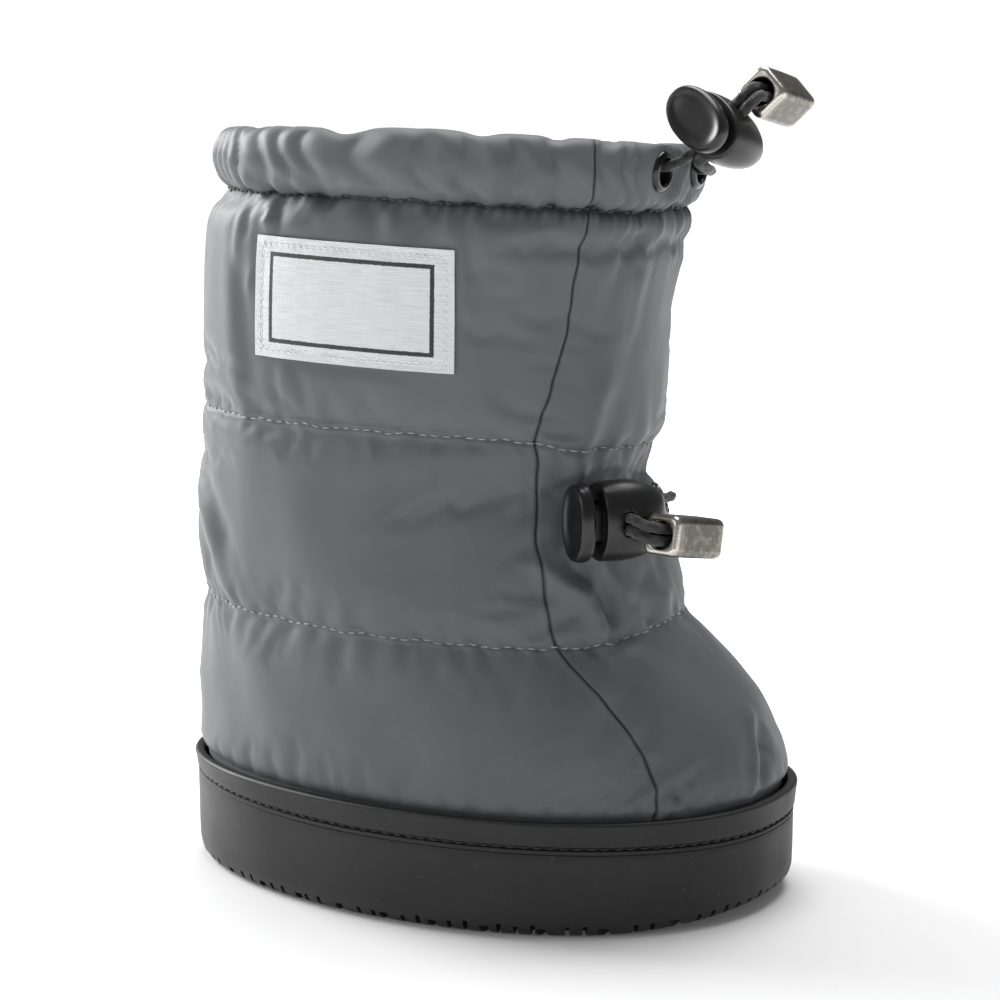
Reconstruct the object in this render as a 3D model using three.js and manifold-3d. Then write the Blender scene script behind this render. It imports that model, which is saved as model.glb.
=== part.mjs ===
// Toddler's puffer bootie, right foot: padded nylon upper in a moulded cup sole, with drawcords at
// collar and ankle. Millimetres. +X points to the toe, +Y to the medial side, +Z up. The origin lies
// on the ground under the middle of the sole.
import * as THREE from "three";
import { mergeVertices } from "three/addons/utils/BufferGeometryUtils.js";
import Module from "manifold-3d";

const wasm = await Module();
wasm.setup();

// Driving dimensions of the last and the sole
const SOLE_LENGTH = 146;
const SOLE_WIDTH = 90.6;
const TOE_SWING = 10.4;
const RIM_HEIGHT = 26.5;
const RIM_THICKNESS = 3;
const RIM_ROUND = 0.7;
const RIM_BAND = 4.6;
const SEAM_GROOVE_HEIGHT = 1.7;
const SEAM_GROOVE_DEPTH = 1.7;
const CORNER_REACH = 5.2;
const CORNER_HEIGHT = 5.2;
const WALL_INSET = 0.8;
const SOLE_FLOOR = 9;
const TOE_SPRING = 3;
const ARCH_HOLLOW = 1.2;
const LUG_PITCH = 12;
const LUG_GROOVE_WIDTH = 2;
const LUG_GROOVE_DEPTH = 2.2;

// Driving dimensions of the upper
const FOOT_PUFF = 36.5;
const ANKLE_PUFF = 45;
const SHAFT_PUFF = 50.5;
const CASING_HEIGHT = 13.5;
const UPPER_WALL = 3;
const CASING_WALL = 6;
const COLLAR_DIP = 2.5;
const QUILT_PUFF = 1.4;
const CASING_PINCH = 2;
const INSOLE_THICKNESS = 4;

// Driving dimensions of the hardware
const EYELET_WIDTH = 9;
const EYELET_BORE = 5;
const EYELET_FLANGE = 0.9;
const EYELET_BARREL_WALL = 0.6;
const EYELET_DEPTH = 2.2;
const COLLAR_EYELET_SPACING = 19;
const ANKLE_EYELET_SPACING = 28;
const COLLAR_EYELET_RISE = 7.7;
const ANKLE_EYELET_RISE = 25.6;
const CORD_DIAMETER = 2.4;
const STRAND_GAP = 0.3;
const LOCK_LENGTH = 25;
const LOCK_HEIGHT = 18;
const LOCK_THICKNESS = 13;
const LOCK_HEAD = 5;
const LOCK_GAP = 2.4;
const LOCK_TRAVEL = 2.1;
const STEM_WALL = 1.5;
const STEM_WIDTH = 6;
const CORD_END_LENGTH = 18;
const CORD_END_WIDTH = 8.8;
const CORD_END_DEPTH = 8;
const CORD_END_BEVEL = 1;
const CORD_END_CORNER = 1.8;
const LABEL_LENGTH = 48.5;
const LABEL_HEIGHT = 26.5;
const LABEL_THICKNESS = 0.9;
const LABEL_DROP = 22;
const LABEL_SETBACK = 8.8;
const LABEL_TILT = 0.035;

// Fits and mesh steps
const CLEARANCE = 0.3;
const SEAT_GAP = 0.5;
const INSOLE_PLAY = 0.8;
const AROUND = 54;

// Sections of the upper from its foot to its top edge. level counts the zones that LEVELS lists; heel, toe
// and widest are x as shares of SOLE_LENGTH, half is the half width as a share of SOLE_WIDTH, square is
// the squareness of each end and swing the share of the toe's swing to the medial side.
const SECTIONS = {
  columns: ["level", "heel", "toe", "half", "widest", "toeSquare", "heelSquare", "swing"],
  rows: [
    [0.0, -0.5, 0.5, 0.5, 0.06, 2.26, 2.08, 1.0],
    [1.0, -0.5, 0.5, 0.5, 0.06, 2.26, 2.08, 1.0],
    [1.3, -0.487, 0.466, 0.477, 0.05, 2.26, 2.08, 1.0],
    [1.65, -0.473, 0.402, 0.457, 0.03, 2.26, 2.1, 1.0],
    [1.85, -0.471, 0.359, 0.455, 0.01, 2.22, 2.1, 0.95],
    [2.0, -0.471, 0.33, 0.452, -0.01, 2.2, 2.1, 0.85],
    [2.26, -0.47, 0.307, 0.447, -0.04, 2.2, 2.15, 0.65],
    [2.52, -0.461, 0.278, 0.441, -0.07, 2.2, 2.2, 0.5],
    [2.74, -0.456, 0.258, 0.436, -0.085, 2.25, 2.2, 0.35],
    [3.0, -0.455, 0.286, 0.441, -0.085, 2.35, 2.3, 0.25],
    [3.44, -0.444, 0.29, 0.443, -0.077, 2.4, 2.3, 0.1],
    [3.83, -0.435, 0.318, 0.445, -0.058, 2.4, 2.3, 0.0],
    [4.0, -0.415, 0.339, 0.447, -0.038, 2.3, 2.3, 0.0],
    [4.5, -0.418, 0.349, 0.452, -0.034, 2.3, 2.3, 0.0],
    [5.0, -0.411, 0.36, 0.441, -0.026, 2.3, 2.3, 0.0],
  ],
};

// Heights of the zones: the upper's foot, the rim, the two quilt seams, the casing's seam and the top edge
const UPPER_FOOT = SOLE_FLOOR + CLEARANCE;
const LOWER_QUILT = RIM_HEIGHT + FOOT_PUFF;
const UPPER_QUILT = LOWER_QUILT + ANKLE_PUFF;
const CASING_SEAM = UPPER_QUILT + SHAFT_PUFF;
const LEVELS = [
  UPPER_FOOT,
  RIM_HEIGHT,
  LOWER_QUILT,
  UPPER_QUILT,
  CASING_SEAM,
  CASING_SEAM + CASING_HEIGHT,
];

// Small tools

function column(table, name) {
  const index = table.columns.indexOf(name);
  return table.rows.map((row) => row[index]);
}

// Smooth curve through a table's points that never overshoots them
function through(xs, ys, x) {
  const last = xs.length - 1;
  const at = Math.min(Math.max(x, xs[0]), xs[last]);
  const slope = (i) => (ys[i + 1] - ys[i]) / (xs[i + 1] - xs[i]);
  const tangent = (i) => {
    if (i === 0) return slope(0);
    if (i === last) return slope(last - 1);
    const before = slope(i - 1);
    const after = slope(i);
    return before * after > 0 ? (2 * before * after) / (before + after) : 0;
  };
  let i = 0;
  while (i < last - 1 && at > xs[i + 1]) i += 1;
  const span = xs[i + 1] - xs[i];
  const t = (at - xs[i]) / span;
  const rise = t * t * (3 - 2 * t);
  const leave = t * (1 - t) * (1 - t) * span * tangent(i);
  const arrive = t * t * (t - 1) * span * tangent(i + 1);
  return ys[i] + rise * (ys[i + 1] - ys[i]) + leave + arrive;
}

function signedPower(value, power) {
  return Math.sign(value) * Math.abs(value) ** power;
}

function bump(value, middle, reach) {
  const t = Math.min(Math.abs(value - middle) / reach, 1);
  return (1 - t * t) ** 2;
}

// A closed superellipse with its own squareness at each end, drawn in by inset, swung at the toe
function outlinePoint(turn, shape, inset) {
  const c = Math.cos(turn);
  const s = Math.sin(turn);
  const toeEnd = c >= 0;
  const power = 2 / (toeEnd ? shape.toeSquare : shape.heelSquare);
  const reach = toeEnd ? shape.toe - shape.widest - inset : shape.widest - shape.heel - inset;
  const x = shape.widest + reach * signedPower(c, power);
  const ahead = Math.max(0, (x / SOLE_LENGTH + 0.1) / 0.6);
  const y = (shape.half - inset) * signedPower(s, power) + shape.swing * ahead * ahead;
  return [x, y];
}

const SOLE_SHAPE = {
  heel: -0.5 * SOLE_LENGTH,
  toe: 0.5 * SOLE_LENGTH,
  half: 0.5 * SOLE_WIDTH,
  widest: 0.06 * SOLE_LENGTH,
  toeSquare: 2.26,
  heelSquare: 2.08,
  swing: TOE_SWING,
};

// A torus-like grid: rings of points, each ring closed, the last ring joined to the first
function gridSolid(rings, closeLoop) {
  const positions = [];
  const faces = [];
  const count = rings[0].length;
  for (const ring of rings) for (const point of ring) positions.push(...point);
  const last = closeLoop ? rings.length : rings.length - 1;
  for (let r = 0; r < last; r += 1) {
    const next = (r + 1) % rings.length;
    for (let k = 0; k < count; k += 1) {
      const right = (k + 1) % count;
      const a = r * count + k;
      const b = r * count + right;
      const c = next * count + right;
      const d = next * count + k;
      faces.push(a, b, c, a, c, d);
    }
  }
  if (!closeLoop) {
    faces.push(...capFaces(positions, 0, count, true));
    faces.push(...capFaces(positions, (rings.length - 1) * count, count, false));
  }
  const geometry = new THREE.BufferGeometry();
  geometry.setAttribute("position", new THREE.Float32BufferAttribute(positions, 3));
  geometry.setIndex(faces);
  return geometry;
}

// A fan from the middle of a ring; the middle point is appended to positions
function capFaces(positions, start, count, reversed) {
  const middle = [0, 0, 0];
  for (let k = 0; k < count; k += 1) {
    for (let axis = 0; axis < 3; axis += 1) middle[axis] += positions[(start + k) * 3 + axis] / count;
  }
  const centre = positions.length / 3;
  positions.push(...middle);
  const faces = [];
  for (let k = 0; k < count; k += 1) {
    const a = start + k;
    const b = start + ((k + 1) % count);
    if (reversed) faces.push(centre, b, a);
    else faces.push(centre, a, b);
  }
  return faces;
}

function solid(geometry) {
  const bare = geometry.clone();
  bare.deleteAttribute("normal");
  bare.deleteAttribute("uv");
  const merged = mergeVertices(bare, 1e-4);
  const vertProperties = new Float32Array(merged.attributes.position.array);
  const triVerts = new Uint32Array(merged.index.array);
  return new wasm.Manifold(new wasm.Mesh({ numProp: 3, vertProperties, triVerts }));
}

function geometryOf(manifold) {
  const mesh = manifold.getMesh();
  const geometry = new THREE.BufferGeometry();
  geometry.setAttribute("position", new THREE.Float32BufferAttribute(mesh.vertProperties, 3));
  geometry.setIndex(Array.from(mesh.triVerts));
  return geometry;
}

function turns() {
  return Array.from({ length: AROUND }, (_, k) => (2 * Math.PI * k) / AROUND);
}

// The upper's own surface

function heightOf(level) {
  const i = Math.min(Math.floor(level), LEVELS.length - 2);
  return LEVELS[i] + (level - i) * (LEVELS[i + 1] - LEVELS[i]);
}

function sectionAt(level) {
  const levels = column(SECTIONS, "level");
  const value = (name) => through(levels, column(SECTIONS, name), level);
  const tuck = (RIM_THICKNESS + CLEARANCE) * (1 - Math.min(Math.max(level - 1, 0) / 0.5, 1));
  return {
    heel: value("heel") * SOLE_LENGTH + tuck,
    toe: value("toe") * SOLE_LENGTH - tuck,
    half: value("half") * SOLE_WIDTH - tuck,
    widest: value("widest") * SOLE_LENGTH,
    toeSquare: value("toeSquare"),
    heelSquare: value("heelSquare"),
    swing: value("swing") * TOE_SWING,
  };
}

// The collar's edge dips at the front, over a reach of turns given in radians
const DIP_REACH = 1.6;

function basePoint(turn, level) {
  const [x, y] = outlinePoint(turn, sectionAt(level), 0);
  const fromFront = Math.atan2(Math.sin(turn), Math.cos(turn));
  const dip = COLLAR_DIP * Math.max(0, level - 4) * bump(fromFront, 0, DIP_REACH);
  return new THREE.Vector3(x, y, heightOf(level) - dip);
}

function outwardNormal(turn, level) {
  const step = 0.004;
  const low = Math.max(level - step, 0);
  const high = Math.min(level + step, LEVELS.length - 1);
  const along = basePoint(turn + step, level).sub(basePoint(turn - step, level));
  const up = basePoint(turn, high).sub(basePoint(turn, low));
  return along.cross(up).normalize();
}

// Main folds of the shell as soft troughs; turn and turnReach in degrees from the toe, medial side
// positive, level and levelReach in LEVELS zones, depth as a share of QUILT_PUFF.
const FOLDS = {
  columns: ["turn", "turnReach", "level", "levelReach", "depth"],
  rows: [
    [-38, 26, 2.06, 0.16, 1.9],
    [36, 26, 2.06, 0.16, 1.6],
    [-58, 16, 2.62, 0.2, 1.8],
    [52, 16, 2.62, 0.2, 1.6],
    [2, 40, 2.3, 0.12, 1.0],
    [-150, 30, 2.1, 0.1, 0.6],
    [0, 24, 4.6, 0.9, 1.6],
  ],
};

function foldDepth(turn, level) {
  let depth = 0;
  for (const row of FOLDS.rows) {
    const [middle, turnReach, atLevel, levelReach, share] = row;
    const degrees = THREE.MathUtils.radToDeg(turn);
    const away = THREE.MathUtils.euclideanModulo(degrees - middle + 180, 360) - 180;
    depth += share * bump(away, 0, turnReach) * bump(level, atLevel, levelReach);
  }
  return depth * QUILT_PUFF;
}

// How far the shell lies inside its base section: puffs between the quilt seams, a pinched casing seam
// and the round top of the casing
function shellInset(turn, level) {
  const zone = Math.floor(level);
  const share = level - zone;
  if (level <= 1) return 0;
  if (level < 4) {
    const pinch = CASING_PINCH * Math.max(0, 1 - (4 - level) / 0.12);
    return pinch - QUILT_PUFF * Math.sin(Math.PI * share) ** 0.8 + foldDepth(turn, level);
  }
  const casing = through(
    [4, 4.12, 4.5, 4.8, 4.93, 5],
    [1, 0.25, -QUILT_PUFF / CASING_PINCH, -0.28, 0.66, 0.5 * CASING_WALL / CASING_PINCH],
    level,
  );
  return CASING_PINCH * casing + foldDepth(turn, level);
}

function liningInset(turn, level) {
  const wall = through(
    [0, 3.8, 4.2, 4.7, 4.92, 5],
    [UPPER_WALL, UPPER_WALL, CASING_WALL, CASING_WALL, 0.8 * CASING_WALL, 0.5 * CASING_WALL],
    level,
  );
  return wall + foldDepth(turn, level);
}

function upperPoint(turn, level, inset) {
  return basePoint(turn, level).addScaledVector(outwardNormal(turn, level), -inset);
}

const SHELL_LEVELS = [
  0, 1, 1.14, 1.32, 1.5, 1.68, 1.85, 1.95, 2.03, 2.14, 2.3, 2.46, 2.62, 2.78, 2.93, 3.01, 3.1, 3.35,
  3.65, 3.88, 4, 4.12, 4.4, 4.7, 4.9, 5,
];
const LINING_LEVELS = [4.88, 4.5, 4, 3.4, 3, 2.7, 2.4, 2.1, 1.85, 1.6, 1.3, 1, 0];

function upperSolid() {
  const shell = SHELL_LEVELS.map((level) =>
    turns().map((turn) => upperPoint(turn, level, shellInset(turn, level)).toArray()),
  );
  const lining = LINING_LEVELS.map((level) =>
    turns().map((turn) => upperPoint(turn, level, liningInset(turn, level)).toArray()),
  );
  return gridSolid([...shell, ...lining], true);
}

// Places on the shell, found by height and by how far to the side they lie

function levelOf(height) {
  const last = LEVELS.length - 1;
  let i = 0;
  while (i < last - 1 && height > LEVELS[i + 1]) i += 1;
  return i + (height - LEVELS[i]) / (LEVELS[i + 1] - LEVELS[i]);
}

function shellPoint(turn, level, outward) {
  return upperPoint(turn, level, shellInset(turn, level) - outward);
}

// The turn at which a coordinate of the shell reaches a value; it has to grow from low to high
function turnWhere(coordinate, value, level, low, high) {
  let from = low;
  let to = high;
  for (let i = 0; i < 40; i += 1) {
    const middle = 0.5 * (from + to);
    if (shellPoint(middle, level, 0)[coordinate] < value) from = middle;
    else to = middle;
  }
  return 0.5 * (from + to);
}

// A frame that stands on the shell: z leaves it, x lies level. The seat is lifted until the shell around
// it, out to SEAT_REACH of an eyelet's width, lies under it.
const SEAT_REACH = 0.62;
const SEAT_RIM = [0, 45, 90, 135, 180, 225, 270, 315].map((degrees) => {
  const angle = THREE.MathUtils.degToRad(degrees);
  return [Math.cos(angle), Math.sin(angle)];
});

function seatOnShell(height, aside) {
  const level = levelOf(height);
  const turn = turnWhere("y", aside, level, -1.2, 1.2);
  const spot = shellPoint(turn, level, 0);
  const across = shellPoint(turn + 0.03, level, 0).sub(shellPoint(turn - 0.03, level, 0));
  const rise = shellPoint(turn, level + 0.03, 0).sub(shellPoint(turn, level - 0.03, 0));
  const out = across.cross(rise).normalize();
  const sideways = new THREE.Vector3(0, 0, 1).cross(out).normalize();
  const upright = out.clone().cross(sideways);
  const zone = Math.floor(level);
  const reach = SEAT_REACH * EYELET_WIDTH;
  const reachTurn = reach / Math.hypot(spot.x, spot.y);
  const reachLevel = reach / (LEVELS[zone + 1] - LEVELS[zone]);
  let lift = 0;
  for (const [a, b] of SEAT_RIM) {
    const near = shellPoint(turn + a * reachTurn, level + b * reachLevel, 0);
    lift = Math.max(lift, near.sub(spot).dot(out));
  }
  spot.addScaledVector(out, lift + SEAT_GAP);
  return new THREE.Matrix4().makeBasis(sideways, upright, out).setPosition(spot);
}

// The cup sole: inset from the outline and height of each ring, from the underside round to the cup's floor
const BAND_FOOT = RIM_HEIGHT - RIM_BAND;
const GROOVE_FOOT = BAND_FOOT - SEAM_GROOVE_HEIGHT;
const SOLE_RINGS = {
  columns: ["inset", "height"],
  rows: [
    [5 * CORNER_REACH, 0],
    [CORNER_REACH, 0],
    [0.5 * CORNER_REACH, 0.12 * CORNER_HEIGHT],
    [0.25 * CORNER_REACH, 0.46 * CORNER_HEIGHT],
    [WALL_INSET, CORNER_HEIGHT],
    [WALL_INSET, GROOVE_FOOT],
    [SEAM_GROOVE_DEPTH, GROOVE_FOOT + 0.3 * SEAM_GROOVE_HEIGHT],
    [SEAM_GROOVE_DEPTH, BAND_FOOT - 0.3 * SEAM_GROOVE_HEIGHT],
    [0, BAND_FOOT],
    [0, RIM_HEIGHT - RIM_ROUND],
    [RIM_ROUND, RIM_HEIGHT],
    [RIM_THICKNESS - RIM_ROUND, RIM_HEIGHT],
    [RIM_THICKNESS, RIM_HEIGHT - RIM_ROUND],
    [RIM_THICKNESS, SOLE_FLOOR],
  ],
};

// The underside rises ahead of the ball of the foot; the rise fades out up the wall
function toeLift(x) {
  const ahead = Math.max(0, (x / SOLE_LENGTH - 0.3) / 0.2);
  return TOE_SPRING * ahead * ahead;
}

function solePoint(turn, inset, height) {
  const [x, y] = outlinePoint(turn, SOLE_SHAPE, inset);
  const fade = Math.max(0, 1 - height / SOLE_FLOOR);
  const hollow = inset > CORNER_REACH ? ARCH_HOLLOW * bump(x / SOLE_LENGTH, -0.08, 0.16) : 0;
  return [x, y, height + toeLift(x) * fade + hollow];
}

function lugGroove(x) {
  const depth = LUG_GROOVE_DEPTH + toeLift(x);
  const groove = new THREE.BoxGeometry(LUG_GROOVE_WIDTH, 2 * SOLE_WIDTH, 2 * depth);
  groove.translate(x, 0, 0);
  return solid(groove);
}

function outsoleSolid() {
  const rings = SOLE_RINGS.rows.map(([inset, height]) =>
    turns().map((turn) => solePoint(turn, inset, height)),
  );
  let sole = solid(gridSolid(rings, false));
  const count = Math.floor((0.46 * SOLE_LENGTH) / LUG_PITCH);
  for (let k = -count; k <= count; k += 1) sole = sole.subtract(lugGroove(k * LUG_PITCH));
  return geometryOf(sole);
}

const INSOLE_EDGE = RIM_THICKNESS + CLEARANCE + UPPER_WALL + INSOLE_PLAY;

function insoleSolid() {
  const bottom = SOLE_FLOOR + CLEARANCE;
  const top = bottom + INSOLE_THICKNESS;
  const edge = (inset, height) => turns().map((turn) => {
    const [x, y] = outlinePoint(turn, SOLE_SHAPE, INSOLE_EDGE + inset);
    return [x, y, height];
  });
  const round = 0.2 * INSOLE_THICKNESS;
  const rings = [edge(round, bottom), edge(0, bottom + round), edge(0, top - round), edge(round, top)];
  return gridSolid(rings, false);
}

// Eyelets

const EYELET_OUTER_BARREL = EYELET_BORE / 2 + EYELET_BARREL_WALL;

function lathe(profile, sides) {
  const points = profile.map(([radius, height]) => new THREE.Vector2(radius, height));
  return new THREE.LatheGeometry([...points, points[0]], sides).rotateX(Math.PI / 2);
}

function eyeletShape() {
  const bore = EYELET_BORE / 2;
  const rim = EYELET_WIDTH / 2;
  return lathe([
    [bore, -EYELET_DEPTH],
    [EYELET_OUTER_BARREL, -EYELET_DEPTH],
    [EYELET_OUTER_BARREL, 0],
    [rim, 0],
    [rim - 0.2 * EYELET_FLANGE, 0.6 * EYELET_FLANGE],
    [0.5 * (rim + bore), EYELET_FLANGE],
    [bore, 0.6 * EYELET_FLANGE],
  ], 12);
}

function eyeletPocket() {
  const radius = EYELET_OUTER_BARREL + CLEARANCE;
  const depth = EYELET_DEPTH + CLEARANCE;
  const pocket = new THREE.CylinderGeometry(radius, radius, 2 * depth, 12, 1);
  return pocket.rotateX(Math.PI / 2);
}

function eyelet(place, half, height, aside) {
  return { place, half, side: Math.sign(aside), seat: seatOnShell(height, aside) };
}

const COLLAR_EYELET_HEIGHT = CASING_SEAM + COLLAR_EYELET_RISE;
const ANKLE_EYELET_HEIGHT = LOWER_QUILT + ANKLE_EYELET_RISE;
const EYELETS = [
  eyelet("collar", "lateral", COLLAR_EYELET_HEIGHT, -COLLAR_EYELET_SPACING / 2),
  eyelet("collar", "medial", COLLAR_EYELET_HEIGHT, COLLAR_EYELET_SPACING / 2),
  eyelet("ankle", "lateral", ANKLE_EYELET_HEIGHT, -ANKLE_EYELET_SPACING / 2),
  eyelet("ankle", "medial", ANKLE_EYELET_HEIGHT, ANKLE_EYELET_SPACING / 2),
];

// Spring cord locks. In a lock's own frame x is the press axis, y the cord hole and z its height; the
// plunger's head looks to -x.

const STRAND_OFFSET = (CORD_DIAMETER + STRAND_GAP) / 2;
const HOLE_HEIGHT = 2 * STRAND_OFFSET + CORD_DIAMETER + 2 * CLEARANCE;
const HOLE_WIDTH = CORD_DIAMETER + 2 * CLEARANCE;
const HEAD_FACE = LOCK_HEAD - LOCK_LENGTH / 2;
const BARREL_FACE = HEAD_FACE + LOCK_GAP;
const STEM_HEIGHT = HOLE_HEIGHT + 2 * STEM_WALL;
const STEM_END = HOLE_WIDTH / 2 + STEM_WALL;

function boxBetween(low, high) {
  const size = high.map((value, axis) => value - low[axis]);
  const box = new THREE.BoxGeometry(...size);
  return box.translate(...high.map((value, axis) => (value + low[axis]) / 2));
}

function lockBody() {
  const body = new THREE.SphereGeometry(1, 14, 10);
  return body.scale(LOCK_LENGTH / 2, LOCK_THICKNESS / 2, LOCK_HEIGHT / 2);
}

function lockPlunger() {
  const beyond = LOCK_LENGTH;
  const behindHead = solid(boxBetween([HEAD_FACE, -beyond, -beyond], [beyond, beyond, beyond]));
  const head = solid(lockBody()).subtract(behindHead);
  const stem = solid(boxBetween(
    [HEAD_FACE - 0.1 * LOCK_HEAD, -STEM_WIDTH / 2, -STEM_HEIGHT / 2],
    [STEM_END, STEM_WIDTH / 2, STEM_HEIGHT / 2],
  ));
  const window = solid(boxBetween(
    [-HOLE_WIDTH / 2 - LOCK_TRAVEL, -STEM_WIDTH, -HOLE_HEIGHT / 2],
    [HOLE_WIDTH / 2, STEM_WIDTH, HOLE_HEIGHT / 2],
  ));
  return geometryOf(head.add(stem).subtract(window));
}

function lockBarrel() {
  const beyond = LOCK_LENGTH;
  const half = STEM_WIDTH / 2 + CLEARANCE;
  const tall = STEM_HEIGHT / 2 + CLEARANCE;
  const mouth = solid(boxBetween([-beyond, -beyond, -beyond], [BARREL_FACE, beyond, beyond]));
  const cavity = solid(boxBetween([-beyond, -half, -tall], [STEM_END + LOCK_TRAVEL + CLEARANCE, half, tall]));
  const hole = solid(boxBetween(
    [-HOLE_WIDTH / 2, -beyond, -HOLE_HEIGHT / 2],
    [HOLE_WIDTH / 2, beyond, HOLE_HEIGHT / 2],
  ));
  return geometryOf(solid(lockBody()).subtract(mouth).subtract(cavity).subtract(hole));
}

// Square cord ends. In an end's own frame y runs from its cord hole to its far face.

const END_HOLE_RADIUS = STRAND_OFFSET + CORD_DIAMETER / 2 + CLEARANCE;

function cordEnd() {
  const bevel = CORD_END_BEVEL;
  const corner = CORD_END_CORNER;
  const flat = CORD_END_WIDTH / 2 - bevel;
  const square = new THREE.Shape();
  square.moveTo(flat - corner, -flat);
  square.absarc(flat - corner, corner - flat, corner, -Math.PI / 2, 0);
  square.absarc(flat - corner, flat - corner, corner, 0, Math.PI / 2);
  square.absarc(corner - flat, flat - corner, corner, Math.PI / 2, Math.PI);
  square.absarc(corner - flat, corner - flat, corner, Math.PI, 1.5 * Math.PI);
  const block = new THREE.ExtrudeGeometry(square, {
    depth: CORD_END_LENGTH - 2 * bevel,
    bevelSize: bevel,
    bevelThickness: bevel,
    bevelSegments: 1,
    curveSegments: 3,
  });
  block.rotateX(-Math.PI / 2).translate(0, bevel, 0);
  const hole = new THREE.CylinderGeometry(END_HOLE_RADIUS, END_HOLE_RADIUS, 2 * CORD_END_DEPTH, 14, 1);
  return geometryOf(solid(block).subtract(solid(hole)));
}

// Where the locks and cord ends lie. Every place is measured from the middle between the drawcord's two
// eyelets. leads is how far each strand leaves its eyelet straight, stack tells which strand lies on top,
// and the points of ways and bend are chosen by hand: from each eyelet to the lock, and from the lock over
// to the cord end.
const DRAWCORDS = [
  {
    name: "collar",
    lock: { place: [11.3, -5.5, 8.8], x: [0.157, 0.943, -0.28], y: [0.659, 0.109, 0.738] },
    end: { place: [18.8, -1.5, 17], x: [-0.72, -0.09, -0.69], y: [-0.06, 0.97, -0.21] },
    leads: { lateral: 3, medial: 3 },
    stack: 1,
    ways: {
      lateral: [[3.5, -8.8, 2]],
      medial: [[4.5, 4.5, 0], [7.1, -2.2, 0.6]],
    },
    bend: [[17.6, -4.5, 15.8], [18.7, -3.7, 16.9]],
  },
  {
    name: "ankle",
    lock: { place: [6.1, -19.9, 1.2], x: [0.6, 0.8, 0], y: [0.8, -0.6, 0] },
    end: { place: [18.2, -23.9, -0.4], x: [-0.98, 0.2, 0], y: [0.2, 0.965, -0.17] },
    leads: { lateral: 1.5, medial: 3 },
    stack: -1,
    ways: {
      lateral: [],
      medial: [[3.6, 9, 1.5], [3.3, 1, 3.7], [2.4, -7, 5.5], [1.5, -12.4, 5.3]],
    },
    bend: [[14.4, -26.2, 1], [16.7, -26.7, 0.4]],
  },
];

function fromEyelets(cord, offset) {
  const point = new THREE.Vector3(...offset);
  for (const { seat } of EYELETS.filter((one) => one.place === cord.name)) {
    point.addScaledVector(new THREE.Vector3().setFromMatrixPosition(seat), 0.5);
  }
  return point;
}

// The frame of a drawcord's lock or cord end, from two directions that stand square to each other
function frameOf(cord, { place, x, y }) {
  const xAxis = new THREE.Vector3(...x).normalize();
  const yAxis = new THREE.Vector3(...y);
  yAxis.addScaledVector(xAxis, -xAxis.dot(yAxis)).normalize();
  const zAxis = xAxis.clone().cross(yAxis);
  return new THREE.Matrix4().makeBasis(xAxis, yAxis, zAxis).setPosition(fromEyelets(cord, place));
}

// One strand: out of its eyelet, where it leans on the side it is drawn to, through the lock, over the bend
// and into the cord end
const BORE_LEAN = EYELET_BORE / 2 - CORD_DIAMETER / 2 - CLEARANCE;

function strandPath(cord, eyelet) {
  const lock = frameOf(cord, cord.lock);
  const end = frameOf(cord, cord.end);
  const beside = eyelet.side * cord.stack * STRAND_OFFSET;
  const apart = new THREE.Vector3(0, 0, beside).transformDirection(lock).multiplyScalar(STRAND_OFFSET);
  const inLock = (y) => new THREE.Vector3(0, y, beside).applyMatrix4(lock);
  const throughLock = [-1 - CORD_DIAMETER / LOCK_THICKNESS, -1, 1, 1 + CORD_DIAMETER / LOCK_THICKNESS];
  const chosen = [
    ...cord.ways[eyelet.half].map((offset) => fromEyelets(cord, offset)),
    ...throughLock.map((share) => inLock(share * LOCK_THICKNESS / 2)),
    ...cord.bend.map((offset) => fromEyelets(cord, offset).add(apart)),
    new THREE.Vector3(0, 0, beside).applyMatrix4(end),
    new THREE.Vector3(0, 0.75 * CORD_END_DEPTH, beside).applyMatrix4(end),
  ];
  const lean = chosen[0].clone().applyMatrix4(eyelet.seat.clone().invert()).setZ(0).setLength(BORE_LEAN);
  const inEyelet = (height) => lean.clone().setZ(height).applyMatrix4(eyelet.seat);
  const start = [inEyelet(-0.6 * EYELET_DEPTH), inEyelet(cord.leads[eyelet.half])];
  return new THREE.CatmullRomCurve3([...start, ...chosen], false, "centripetal");
}

function tube(path) {
  const section = new THREE.Shape();
  section.absarc(0, 0, CORD_DIAMETER / 2, 0, 2 * Math.PI);
  return new THREE.ExtrudeGeometry(section, { steps: 22, curveSegments: 4, extrudePath: path });
}

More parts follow.
